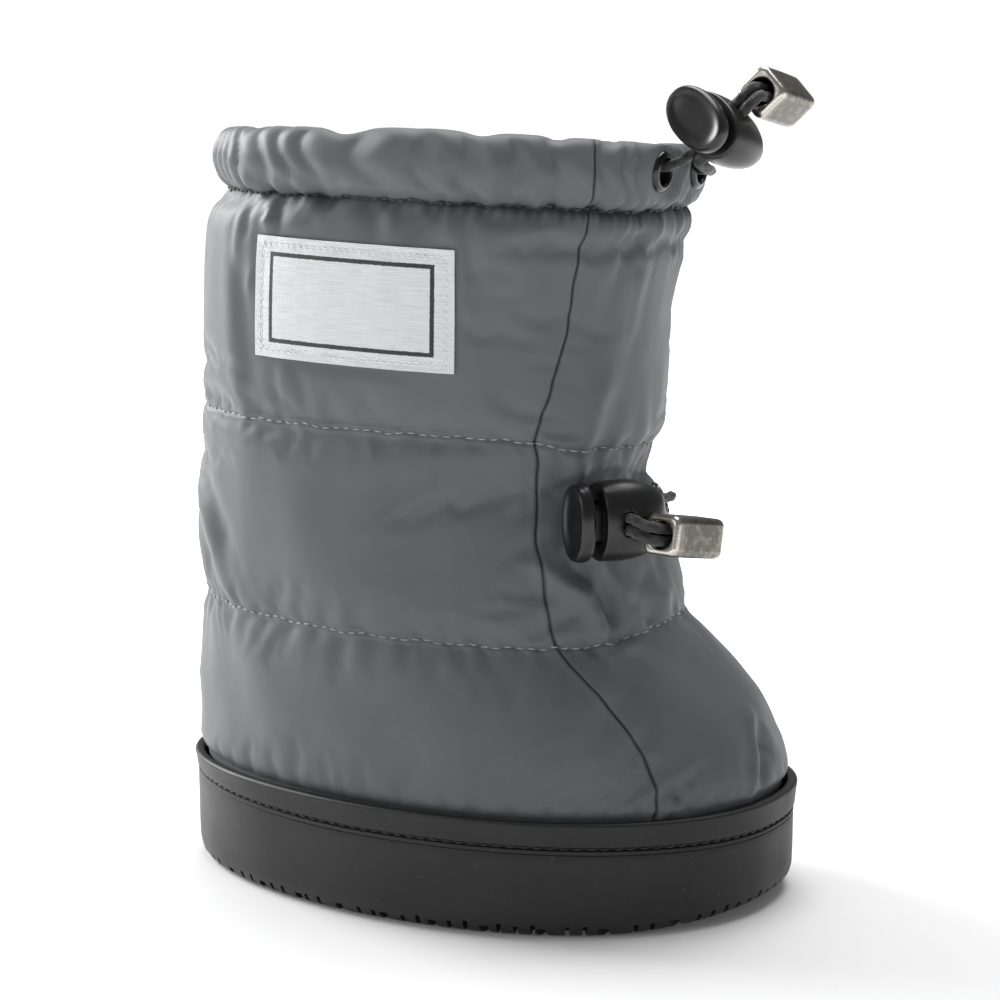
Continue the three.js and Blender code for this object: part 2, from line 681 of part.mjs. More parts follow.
// The woven label follows the shell on the lateral side
function labelSolid() {
  const columns = 8;
  const rows = 3;
  const layer = (outward) => {
    const points = [];
    for (let r = 0; r <= rows; r += 1) {
      for (let c = 0; c <= columns; c += 1) {
        const along = (c / columns - 0.5) * LABEL_LENGTH;
        const upward = (r / rows - 0.5) * LABEL_HEIGHT;
        const x = along * Math.cos(LABEL_TILT) + upward * Math.sin(LABEL_TILT) - LABEL_SETBACK;
        const rise = upward * Math.cos(LABEL_TILT) - along * Math.sin(LABEL_TILT);
        const height = CASING_SEAM - LABEL_DROP + rise;
        const level = levelOf(height);
        const turn = turnWhere("x", x, level, -Math.PI + 0.2, -0.2);
        points.push(shellPoint(turn, level, outward).toArray());
      }
    }
    return points;
  };
  const inner = layer(SEAT_GAP);
  const outer = layer(SEAT_GAP + LABEL_THICKNESS);
  const count = inner.length;
  const faces = [];
  const at = (r, c) => r * (columns + 1) + c;
  const quad = (a, b, c, d) => faces.push(a, b, c, a, c, d);
  for (let r = 0; r < rows; r += 1) {
    for (let c = 0; c < columns; c += 1) {
      quad(count + at(r, c), count + at(r, c + 1), count + at(r + 1, c + 1), count + at(r + 1, c));
      quad(at(r, c), at(r + 1, c), at(r + 1, c + 1), at(r, c + 1));
    }
    quad(at(r, 0), count + at(r, 0), count + at(r + 1, 0), at(r + 1, 0));
    quad(at(r, columns), at(r + 1, columns), count + at(r + 1, columns), count + at(r, columns));
  }
  for (let c = 0; c < columns; c += 1) {
    quad(at(0, c), at(0, c + 1), count + at(0, c + 1), count + at(0, c));
    quad(at(rows, c), count + at(rows, c), count + at(rows, c + 1), at(rows, c + 1));
  }
  const geometry = new THREE.BufferGeometry();
  geometry.setAttribute("position", new THREE.Float32BufferAttribute([...inner, ...outer].flat(), 3));
  geometry.setIndex(faces);
  return geometry;
}

// The assembly

function material(color, roughness, metalness = 0) {
  return new THREE.MeshStandardMaterial({ color, roughness, metalness });
}

const LOOKS = {
  shell: material(0x5f6264, 0.55),
  sole: material(0x262526, 0.5),
  insole: material(0x3a3b3d, 0.9),
  eyelet: material(0x0c0c0d, 0.15),
  plastic: material(0x1d1d1f, 0.35),
  cord: material(0x111112, 0.8),
  metal: material(0x8a857c, 0.4, 1),
  label: material(0xe6e6e6, 0.8),
};

const group = new THREE.Group();
const boot = new THREE.Group();
group.add(boot);

function addPiece(name, geometry, look, frame) {
  const mesh = new THREE.Mesh(geometry, look);
  mesh.name = name;
  if (frame) frame.decompose(mesh.position, mesh.quaternion, mesh.scale);
  boot.add(mesh);
  return mesh;
}

const outsole = addPiece("outsole", outsoleSolid(), LOOKS.sole);
let upper = solid(upperSolid());
for (const { seat } of EYELETS) upper = upper.subtract(solid(eyeletPocket().applyMatrix4(seat)));
addPiece("upper", geometryOf(upper), LOOKS.shell);
addPiece("insole", insoleSolid(), LOOKS.insole);
addPiece("side_label", labelSolid(), LOOKS.label);

for (const { place, half, seat } of EYELETS) {
  addPiece(`${place}_eyelet_${half}`, eyeletShape(), LOOKS.eyelet, seat);
}
for (const cord of DRAWCORDS) {
  const lock = frameOf(cord, cord.lock);
  addPiece(`${cord.name}_lock_barrel`, lockBarrel(), LOOKS.plastic, lock);
  addPiece(`${cord.name}_lock_plunger`, lockPlunger(), LOOKS.plastic, lock);
  addPiece(`${cord.name}_cord_end`, cordEnd(), LOOKS.metal, frameOf(cord, cord.end));
  for (const eyelet of EYELETS.filter((one) => one.place === cord.name)) {
    addPiece(`${cord.name}_cord_${eyelet.half}`, tube(strandPath(cord, eyelet)), LOOKS.cord);
  }
}

// The origin lies under the middle of the sole's box
outsole.geometry.computeBoundingBox();
const soleBox = outsole.geometry.boundingBox;
boot.position.set(-(soleBox.min.x + soleBox.max.x) / 2, -(soleBox.min.y + soleBox.max.y) / 2, 0);

export default group;
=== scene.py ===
# %% [markdown]
# A toddler's puffer bootie for the right foot. The real one is a padded nylon sock, quilted in
# three rings, that is cemented into a moulded rubber cup. A drawcord runs in a casing at the collar
# and another one at the ankle, each closed by a spring cord lock and a square metal end. This lesson
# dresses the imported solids: it takes their places and sizes and makes each piece as its maker would.
#
# +X points to the toe, +Y to the medial side, +Z up. Numbers are millimetres until a mesh is made.

import math

import bpy
import numpy as np
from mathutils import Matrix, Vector


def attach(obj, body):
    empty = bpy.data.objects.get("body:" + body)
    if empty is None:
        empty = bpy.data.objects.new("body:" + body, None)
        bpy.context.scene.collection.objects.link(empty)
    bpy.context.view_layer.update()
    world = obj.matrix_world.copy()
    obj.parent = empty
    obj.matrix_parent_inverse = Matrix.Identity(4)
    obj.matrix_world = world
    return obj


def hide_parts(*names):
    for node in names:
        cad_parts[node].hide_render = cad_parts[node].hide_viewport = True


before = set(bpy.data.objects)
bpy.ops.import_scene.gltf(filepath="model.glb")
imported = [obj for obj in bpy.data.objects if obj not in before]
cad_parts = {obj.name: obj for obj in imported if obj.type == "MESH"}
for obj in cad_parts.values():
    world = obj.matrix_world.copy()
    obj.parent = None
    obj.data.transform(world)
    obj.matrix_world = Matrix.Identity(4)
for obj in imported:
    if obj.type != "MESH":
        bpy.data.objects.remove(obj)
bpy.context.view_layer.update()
MM = 0.001
print("the packed solids:", sorted(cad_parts))

# %% [markdown]
# The photograph was taken with a long lens from the shoe's outer side, a little above it and a little
# ahead of it. The camera stands where a fit of the sole's outline puts it, and is turned and zoomed so
# that this one shoe fills the frame. A pan of the camera leaves the angle to the shoe as it was.

# %% Camera
CAMERA_PLACE = Vector((286.7, -526.8, 188.0)) * MM
CAMERA_TURN = math.radians(25.56)
CAMERA_PITCH = math.radians(9.45)
PAN = -0.0432
ZOOM = 1.56

ahead = Vector((-math.sin(CAMERA_TURN) * math.cos(CAMERA_PITCH),
                math.cos(CAMERA_TURN) * math.cos(CAMERA_PITCH), -math.sin(CAMERA_PITCH)))
right = Vector((math.cos(CAMERA_TURN), math.sin(CAMERA_TURN), 0))
camera_data = bpy.data.cameras.new("camera")
camera_data.sensor_width = 36
camera_data.lens = 60.83 * ZOOM
camera = bpy.data.objects.new("camera", camera_data)
camera.location = CAMERA_PLACE
camera.rotation_euler = (ahead + right * PAN).to_track_quat("-Z", "Y").to_euler()
bpy.context.collection.objects.link(camera)
bpy.context.scene.camera = camera
print("the lens is %.0f mm, %.2f m from the shoe" % (camera_data.lens, camera.location.length))

# %% [markdown]
# The upper is a stack of outlines, one for each height, with a squareness of its own at the toe and at
# the heel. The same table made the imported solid, so the cloth that is laid over it follows it.

# %% The last: sizes and sections
SOLE_LENGTH = 146.0
SOLE_WIDTH = 90.6
TOE_SWING = 10.4
RIM_HEIGHT = 26.5
RIM_THICKNESS = 3.0
SOLE_FLOOR = 9.0
LEVELS = np.array([9.3, 26.5, 63.0, 108.0, 158.5, 172.0])
COLLAR_DIP = 2.5
QUILT_PUFF = 1.4
CASING_PINCH = 2.0
UPPER_WALL = 3.0
Y_SHIFT = -0.88

# level, heel, toe, half, widest, toe squareness, heel squareness, swing
SECTIONS = np.array([
    [0.0, -0.5, 0.5, 0.5, 0.06, 2.26, 2.08, 1.0],
    [1.0, -0.5, 0.5, 0.5, 0.06, 2.26, 2.08, 1.0],
    [1.3, -0.487, 0.466, 0.477, 0.05, 2.26, 2.08, 1.0],
    [1.65, -0.473, 0.402, 0.457, 0.03, 2.26, 2.1, 1.0],
    [1.85, -0.471, 0.359, 0.455, 0.01, 2.22, 2.1, 0.95],
    [2.0, -0.471, 0.33, 0.452, -0.01, 2.2, 2.1, 0.85],
    [2.26, -0.47, 0.307, 0.447, -0.04, 2.2, 2.15, 0.65],
    [2.52, -0.461, 0.278, 0.441, -0.07, 2.2, 2.2, 0.5],
    [2.74, -0.456, 0.258, 0.436, -0.085, 2.25, 2.2, 0.35],
    [3.0, -0.455, 0.286, 0.441, -0.085, 2.35, 2.3, 0.25],
    [3.44, -0.444, 0.29, 0.443, -0.077, 2.4, 2.3, 0.1],
    [3.83, -0.435, 0.318, 0.445, -0.058, 2.4, 2.3, 0.0],
    [4.0, -0.415, 0.339, 0.447, -0.038, 2.3, 2.3, 0.0],
    [4.5, -0.418, 0.349, 0.452, -0.034, 2.3, 2.3, 0.0],
    [5.0, -0.411, 0.36, 0.441, -0.026, 2.3, 2.3, 0.0],
])


def through(xs, ys, at):
    """A smooth curve through a table's points that never overshoots them."""
    xs, ys = np.asarray(xs, float), np.asarray(ys, float)
    at = np.clip(at, xs[0], xs[-1])
    slope = np.diff(ys) / np.diff(xs)
    both = slope[:-1] * slope[1:]
    total = np.where(both > 0, slope[:-1] + slope[1:], 1)
    tangent = np.concatenate(([slope[0]], np.where(both > 0, 2 * both / total, 0), [slope[-1]]))
    i = np.clip(np.searchsorted(xs, at, side="left") - 1, 0, len(xs) - 2)
    span = xs[i + 1] - xs[i]
    t = (at - xs[i]) / span
    return (ys[i] + t * t * (3 - 2 * t) * (ys[i + 1] - ys[i]) + t * (1 - t) ** 2 * span * tangent[i]
            + t * t * (t - 1) * span * tangent[i + 1])


def bump(value, middle, reach):
    """A soft hill, 1 at the middle and 0 at the reach."""
    t = np.minimum(np.abs(value - middle) / reach, 1)
    return (1 - t * t) ** 2


def outline(turn, heel, toe, half, widest, toe_square, heel_square, swing, inset=0.0):
    """The point of a closed outline at a turn, counted in radians from the toe."""
    c, s = np.cos(turn), np.sin(turn)
    power = 2 / np.where(c >= 0, toe_square, heel_square)
    reach = np.where(c >= 0, toe - widest, widest - heel) - inset
    x = widest + reach * np.sign(c) * np.abs(c) ** power
    forward = np.maximum(0, (x / SOLE_LENGTH + 0.1) / 0.6)
    y = (half - inset) * np.sign(s) * np.abs(s) ** power + swing * forward ** 2
    return x, y


def base(turn, level, z):
    """The unpadded last at a turn and a level, at height z."""
    columns = [through(SECTIONS[:, 0], SECTIONS[:, i], level) for i in range(1, 8)]
    tuck = (RIM_THICKNESS + 0.3) * (1 - np.clip((level - 1) / 0.5, 0, 1))
    scales = [SOLE_LENGTH, SOLE_LENGTH, SOLE_WIDTH, SOLE_LENGTH, 1, 1, TOE_SWING]
    heel, toe, half, widest, toe_square, heel_square, swing = (c * s for c, s in zip(columns, scales))
    x, y = outline(turn, heel + tuck, toe - tuck, half - tuck, widest, toe_square, heel_square, swing)
    return np.stack(np.broadcast_arrays(x, y, z), axis=-1)


# %% [markdown]
# The quilt seams aren't level: they drop towards the instep, where the ankle cord pulls the cloth in.
# Each is a short table of heights by the turn round the shoe, in degrees from the toe, and the cloth is
# counted in zones between them: 1 the rim, 2 and 3 the quilt seams, 4 the casing's seam, 5 the top edge,
# 6 the same seam again on the inside.

# %% Seam heights
def by_turn(table):
    turns, heights = zip(*table)
    return lambda turn: through(turns, heights, np.degrees(np.arctan2(np.sin(turn), np.cos(turn))))


lower_quilt = by_turn([(-180, 65.3), (-120, 64.6), (-80, 63.8), (-50, 62.6), (-34, 62.2), (-16, 63.6),
                       (4, 64.8), (22, 64.6), (40, 62.8), (80, 63.8), (120, 64.6), (180, 65.3)])
upper_quilt = by_turn([(-180, 110.4), (-110, 109.6), (-70, 108.7), (-50, 107.6), (-28, 105.3), (0, 103.3),
                       (16, 102.4), (34, 105.2), (60, 108.6), (110, 109.6), (180, 110.4)])
casing_seam = by_turn([(-180, 160), (-100, 159.4), (-62, 158), (-36, 157), (-14, 155.8), (0, 156.2),
                       (14, 155.8), (36, 157), (62, 158), (100, 159.4), (180, 160)])
collar_rise = by_turn([(-180, 1.1), (-150, 1.9), (-115, 2.6), (-85, 2.6), (-50, 2.0), (-25, 1.2), (0, 0.3),
                       (40, -0.8), (90, -1.8), (140, -0.8), (180, 1.1)])
COLLAR_DIPS = [  # turn, width, depth
    (-126, 3, 0.9), (-96, 4, 1.5), (-67, 4, 1.0), (-47, 3, 0.9), (-30, 3, 0.8), (60, 6, 1.0), (110, 7, 1.0),
    (165, 4, 0.9),
]


def zone_height(turn, zone):
    """Height of a zone: straight between its seams, round over the collar's top."""
    wrapped = np.arctan2(np.sin(turn), np.cos(turn))
    dip = COLLAR_DIP * bump(wrapped, 0, 1.6) - collar_rise(turn)
    for middle, width, depth in COLLAR_DIPS:
        dip = dip + depth * np.exp(-((np.degrees(wrapped) - middle) / width) ** 2)
    seam, top = casing_seam(turn), LEVELS[5] - dip
    wobble = 0.18 * np.sin(31 * turn + 1) + 0.12 * np.sin(53 * turn)
    seam = seam + 1.3 * wobble
    stops = [0 * turn + LEVELS[0], 0 * turn + RIM_HEIGHT,
             lower_quilt(turn) + wobble, upper_quilt(turn) - wobble, seam]
    z = stops[0] + (stops[1] - stops[0]) * np.clip(zone, 0, 1)
    for i in (1, 2, 3):
        z = z + (stops[i + 1] - stops[i]) * np.clip(zone - i, 0, 1)
    over = through([4, 4.06, 4.2, 4.5, 4.75, 4.9, 5, 5.1, 5.25, 5.5, 5.8, 6],
                   [0, 0.05, 0.19, 0.52, 0.8, 0.945, 1, 0.945, 0.8, 0.5, 0.19, 0], zone)
    return np.where(zone > 4, seam + (top - seam) * over, z)


def zone_level(turn, zone, z):
    """The level of the section that a zone takes its outline from."""
    level = np.interp(z, LEVELS, np.arange(6))
    at_quilt = np.interp(upper_quilt(turn), LEVELS, np.arange(6))
    shaft = at_quilt + (4 - at_quilt) * np.clip(zone - 3, 0, 1)
    casing = 4 + np.where(zone > 5, 6 - zone, zone - 4)
    return np.where(zone > 4, casing, np.where(zone > 3, shaft, level))


def last_point(turn, zone):
    z = zone_height(turn, zone)
    return base(turn, zone_level(turn, zone, z), z)


def last_normal(turn, zone):
    """Which way is out; over the collar it stays that of the wall."""
    step = 0.004
    wall = np.where(zone > 5, 10 - zone, zone)
    low, high = np.clip(wall - 0.03, 0.9, 4.7), np.clip(wall + 0.03, 0.96, 4.76)
    along = last_point(turn + step, wall) - last_point(turn - step, wall)
    up = last_point(turn, high) - last_point(turn, low)
    out = np.cross(along, up)
    return out / np.linalg.norm(out, axis=-1, keepdims=True)


print("quilt seams at the toe and heel:", [round(float(seam(turn)), 1) for seam in (lower_quilt, upper_quilt)
                                           for turn in (0, math.pi)])

# %% [markdown]
# The two side seams join the front panel to the back panel. They run down the shaft, back round the
# ankle cord and forward over the foot. A table gives where the outer one lies; the inner one mirrors it.
# The columns of the cloth's mesh are bent along them, so that a seam is one column and stays sharp.

# %% Side seams
SIDE_SEAM = np.array([  # height, x
    [26, 56.0], [36, 54.6], [42, 51.8], [48, 47.2], [55, 41.0], [63, 34.6], [71, 32.2], [80, 30.3],
    [87, 28.8], [94.5, 28.2], [101, 29.0], [107, 29.6], [120, 32.6], [134, 35.2], [146, 37.6],
    [157, 40.8], [172, 43.0],
])
SEAM_TURN = math.radians(36)


def turn_at(x, z, side):
    """The turn where the last has a given x, found by halving."""
    level = np.interp(z, LEVELS, np.arange(6))
    near, far = np.full_like(x, 0.08), np.full_like(x, 1.5)
    for _ in range(30):
        middle = 0.5 * (near + far)
        ahead_of_it = base(side * middle, level, z)[..., 0] > x
        near, far = np.where(ahead_of_it, middle, near), np.where(ahead_of_it, far, middle)
    return 0.5 * (near + far)


SEAM_TURNS = {side: turn_at(SIDE_SEAM[:, 1], SIDE_SEAM[:, 0], side) for side in (-1, 1)}
print("outer side seam, degrees from the toe:", np.degrees(SEAM_TURNS[-1]).round(1))


def real_turn(column, zone):
    """Bends the columns so that the ones at SEAM_TURN run along the side seams."""
    flat_zone = np.where(zone > 5, 10 - zone, zone)
    turn = column
    for side in (-1, 1):
        z = zone_height(0 * column + side * SEAM_TURN, np.minimum(flat_zone, 5))
        bend = through(SIDE_SEAM[:, 0], SEAM_TURNS[side], z) - SEAM_TURN
        bend = bend + 0.0015 * np.sin(0.9 * z) + 0.003 * np.sin(0.31 * z + 1)
        away = np.abs(np.arctan2(np.sin(column), np.cos(column)))
        hat = np.where(away < SEAM_TURN, away / SEAM_TURN,
                       np.clip((math.pi - away) / (math.pi - SEAM_TURN), 0, 1) ** 1.5)
        turn = turn + np.where(np.sign(np.sin(column)) == side, side * bend * hat, 0)
    return turn


# %% [markdown]
# Gathered cloth is a row of round ridges with sharp valleys between them, not a sine wave. The pleats
# below start from valleys at uneven distances, closer together at the heel and beside the eyelets, where
# the cord bunches the casing. A fixed seed keeps them the same on every run.

# %% Pleats
def valleys(seed, spacing_at):
    """Turns of the valleys round the shoe; spacing_at gives degrees between them."""
    rng = np.random.default_rng(seed)
    at, places = -180.0, []
    while at < 180:
        places.append(at)
        at += spacing_at(at) * rng.uniform(0.55, 1.5)
    return np.radians(np.array(places))


def pleats(turn, places, sharpness=1.7):
    """0 in the valleys and 1 on top of the ridges between them."""
    wrapped = np.arctan2(np.sin(turn), np.cos(turn))
    closed = np.concatenate((places, [places[0] + 2 * math.pi]))
    wrapped = np.where(wrapped < closed[0], wrapped + 2 * math.pi, wrapped)
    i = np.clip(np.searchsorted(closed, wrapped) - 1, 0, len(closed) - 2)
    share = (wrapped - closed[i]) / (closed[i + 1] - closed[i])
    return 1 - np.abs(2 * share - 1) ** sharpness, closed[i + 1] - closed[i]


def casing_spacing(degrees):
    away = abs(degrees)
    if away > 128:
        return 4.6
    if away < 26:
        return 4.2
    return 9.5


CASING_VALLEYS = valleys(11, casing_spacing)
NEEDLE_VALLEYS = valleys(21, lambda d: 3.6)
QUILT_VALLEYS = {2: valleys(5, lambda d: 5.5 if abs(d) > 110 else 8), 3: valleys(7, lambda d: 9)}
SEAM_REACH = {2: 5.0, 3: 4.0, 4: 11.0}
print("pleats in the casing:", len(CASING_VALLEYS))


def waves(turn, zone, seed, count, low, high):
    """Slow swells of the filling, closed round the shoe."""
    rng = np.random.default_rng(seed)
    total = 0 * turn
    for _ in range(count):
        around, up = rng.integers(low, high), rng.uniform(-2.6, 2.6)
        total = total + np.cos(around * turn + up * zone * 2 + rng.uniform(0, 6.28))
    return total / math.sqrt(count)


# %% [markdown]
# The main folds are placed one by one. Each is a short path on the cloth with a width, a depth and the
# share of it that is pushed up on one side, because a fold is a valley next to a ridge.

# %% Folds placed one by one
FOLDS = [  # path of points (x, y, z), width, depth, ridge share (its sign tells the side)
    ([(29.4, -27.3, 93.4), (32.4, -24.2, 95.5), (36, -19.5, 97.5)], 1.7, 2.0, -0.7),
    ([(34.0, -23.5, 99), (35.4, -23.2, 92), (35.8, -23.2, 84), (37.4, -21.8, 79)], 2.3, 3.6, -0.8),
    ([(29.3, -28.8, 82.5), (33, -26.2, 81.5)], 1.2, 0.8, 0.5),
    ([(35.6, -24.0, 81), (40, -18.5, 76), (42.0, -16.0, 70.8), (44.3, -14.6, 64)], 2.4, 2.9, 0.8),
    ([(44.4, -9, 77.5), (45.4, -6, 75.5), (45.4, -1, 74.5)], 2.4, 1.6, 0.5),
    ([(46.2, -7.5, 71), (47.0, -5.0, 69)], 2.6, 2.9, 0.4),
    ([(45.5, -2, 83), (46, 2, 78), (47, 5, 73)], 3.2, 1.6, 0.5),
    ([(41, -13, 112), (40, -17, 103), (38, -18.5, 98)], 3.0, 1.5, 0.5),
    ([(44, -6, 108), (44, -6, 101), (43.5, -5, 95)], 3.4, 1.4, -0.5),
    ([(29.6, -29, 107), (32, -27, 103), (36, -24, 104.5)], 1.5, 1.0, -0.4),
    ([(62, 22, 30), (66, 12, 33), (69, 6, 40)], 2.0, 1.2, 0.5),
    ([(69.8, 3, 28), (69.3, 6, 34), (67, 9, 40)], 1.7, 1.5, -0.6),
    ([(56, -22.4, 28), (58.5, -19.5, 32), (61, -16.6, 28)], 1.3, 1.1, 0.6),
    ([(58.8, -19.5, 28), (60, -17.5, 33), (62.5, -14, 35)], 1.4, 0.9, -0.5),
    ([(-57, -22, 97), (-51, -28, 88), (-45, -34, 75)], 3.4, 1.5, 0.7),
    ([(-60, -14, 92), (-56, -23, 82), (-52, -30, 70)], 3.0, 1.1, 0.5),
    ([(-27, -38, 158), (-28, -40, 148), (-33, -40, 140)], 1.5, 1.1, 0.7),
    ([(-36, -35, 158), (-37, -36.5, 148)], 1.6, 0.8, 0.7),
    ([(-40, -36, 150), (-38, -38, 136), (-35, -39.5, 114)], 3.0, 0.9, 0.6),
    ([(-22, -41, 122), (-20, -41, 111)], 1.6, 0.7, 0.6),
    ([(-29, -40, 120), (-28, -40, 111)], 1.4, 0.6, -0.6),
    ([(18, -36.5, 158), (18, -37, 150), (20, -36.5, 140)], 1.9, 0.9, 0.6),
    ([(-3, -38.5, 158), (-2, -39, 150), (-4, -40, 142)], 1.7, 0.7, -0.6),
    ([(45.5, -14, 154), (45, -15, 147), (43.5, -18, 138)], 2.2, 1.1, 0.6),
    ([(47, -10, 154), (46, -12, 148), (45.5, -12, 134)], 2.0, 1.1, -0.6),
    ([(47, -6, 134), (46, -9, 124), (45, -11, 116)], 4.0, 1.0, 0.5),
    ([(52, -13.5, 160), (50.5, -13, 157), (49, -15, 153)], 1.4, 1.2, 0.5),
    ([(54, 0, 163), (51.5, -1, 157), (49, -2, 150)], 1.6, 1.6, 0.5),
    ([(52, 4, 162), (50, 5, 156), (48, 6, 148)], 1.5, 1.2, -0.5),
    ([(-26, -34, 170), (-23.3, -37, 167), (-16.5, -38.7, 160)], 1.6, 1.1, 0.8),
    ([(-3, -36, 171.3), (-8, -38, 167), (-14, -40, 160.5)], 2.2, 0.9, -0.7),
    ([(12, -36.8, 171.4), (10, -38, 167), (12, -37.5, 161)], 2.2, 0.8, 0.7),
    ([(26, -33.5, 171), (28, -35, 166), (27, -35, 161)], 1.8, 0.8, 0.6),
    ([(-42, -28, 169.6), (-36, -33, 165), (-31, -36, 160.4)], 1.6, 1.0, 0.8),
]


def nearest_on(path, points):
    """Distance of points to a path, with the vector to them and the path's direction there."""
    best = np.full(points.shape[:-1], 1e9)
    offset, heading = np.zeros_like(points), np.zeros_like(points)
    corners = np.array(path, float)
    for a, b in zip(corners[:-1], corners[1:]):
        along = b - a
        share = np.clip((points - a) @ along / (along @ along), 0, 1)
        away = points - (a + share[..., None] * along)
        distance = np.linalg.norm(away, axis=-1)
        closer = distance < best
        best = np.where(closer, distance, best)
        offset[closer] = away[closer]
        heading[closer] = along / np.linalg.norm(along)
    return best, offset, heading


def fold_relief(points, normals):
    total = np.zeros(points.shape[:-1])
    for path, width, depth, ridge in FOLDS:
        distance, offset, heading = nearest_on(path, points)
        ends = np.minimum(np.linalg.norm(points - np.array(path[0]), axis=-1),
                          np.linalg.norm(points - np.array(path[-1]), axis=-1))
        fade = np.clip(ends / (2.2 * width), 0.25, 1)
        side = np.sum(np.cross(heading, normals) * offset, axis=-1)
        valley = np.exp(-(distance / width) ** 2)
        hill = np.exp(-((side - np.sign(ridge) * 1.9 * width) / (1.3 * width)) ** 2)
        hill = hill * np.exp(-(distance / (3.2 * width)) ** 4)
        total += depth * fade * (abs(ridge) * hill - valley)
    return total


print("folds placed by hand:", len(FOLDS))


# %% [markdown]
# The eyelets press the cloth flat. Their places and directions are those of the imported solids. The
# cloth rises or sinks to each flange and drops away in the bore, where the cord comes out.

# %% Eyelet seats
EYELETS = {  # place on the flange's underside, sideways, up, out
    "collar_eyelet_lateral": [(50.7304, -9.5192, 164.7745), (0.0388, 0.9992, 0), (0.1208, -0.0047, 0.9927),
                              (0.9919, -0.0385, -0.1209)],
    "collar_eyelet_medial": [(50.7304, 9.5192, 164.7745), (-0.0388, 0.9992, 0), (0.1208, 0.0047, 0.9927),
                             (0.9919, 0.0385, -0.1209)],
    "ankle_eyelet_lateral": [(38.737, -14.24, 89.2279), (0.3834, 0.9236, 0), (-0.2925, 0.1214, 0.9485),
                             (0.8761, -0.3637, 0.3167)],
    "ankle_eyelet_medial": [(39.9781, 14.1857, 89.3523), (-0.2994, 0.9541, 0), (-0.3582, -0.1124, 0.9269),
                            (0.8844, 0.2775, 0.3754)],
}
BORE_RADIUS = 2.5


def press_eyelets(points):
    """Moves the cloth to the eyelets' flanges, and into their bores."""
    for place, _, _, out in EYELETS.values():
        away = points - np.array(place)
        height = away @ np.array(out)
        flat = away - height[..., None] * np.array(out)
        radius = np.linalg.norm(flat, axis=-1)
        near = np.abs(height) < 9
        hold = np.where(near, np.clip((8.5 - radius) / 3.6, 0, 1), 0)
        hold = hold * hold * (3 - 2 * hold)
        sink = np.where(near, 3.2 * np.clip((BORE_RADIUS + 1.1 - radius) / 0.7, 0, 1), 0)
        move = hold * (-0.12 - height) - sink
        points = points + move[..., None] * np.array(out)
    return points


# %% [markdown]
# The label is sewn down all round, so it holds the cloth under it flat. Its place is needed before the
# cloth's relief is made.

# %% Where the label lies
LABEL_LENGTH, LABEL_HEIGHT, LABEL_THICKNESS = 48.5, 26.5, 0.5
LABEL_MIDDLE = (-8.8, 136.5)
LABEL_TILT = 0.035


def label_hold(points):
    """1 on the cloth under the label, fading to 0 just outside it."""
    x, z = points[..., 0] - LABEL_MIDDLE[0], points[..., 2] - LABEL_MIDDLE[1]
    along = x * math.cos(LABEL_TILT) - z * math.sin(LABEL_TILT)
    rise = x * math.sin(LABEL_TILT) + z * math.cos(LABEL_TILT)
    outside = np.maximum(np.abs(along) - LABEL_LENGTH / 2, np.abs(rise) - LABEL_HEIGHT / 2)
    t = np.clip((3.2 - outside) / 3.2, 0, 1)
    return np.where(points[..., 1] < -10, t * t * (3 - 2 * t), 0)


# %% [markdown]
# Relief of the cloth, as a distance out from the last: the filling's puffs between the seams, the
# pinched casing, the pleats and puckers at each seam, slow swells and the folds. The side seams and the
# quilt seams are narrow grooves, which the mesh can hold because it has extra rows and columns there.

# %% Relief of the shell
CLOTH_RADIUS = 42.0  # of the shaft, to turn angles into lengths of cloth


def quilt_puff(zone):
    """How far the filling swells the cloth between two seams."""
    share = zone - np.floor(np.minimum(zone, 3.9999))
    return QUILT_PUFF * np.sin(math.pi * np.clip(share, 0, 1)) ** 0.75


def seam_distance(turn, zone, seam):
    """Millimetres above a seam of the quilting, measured upwards."""
    return zone_height(turn, zone) - zone_height(turn, 0 * zone + seam)


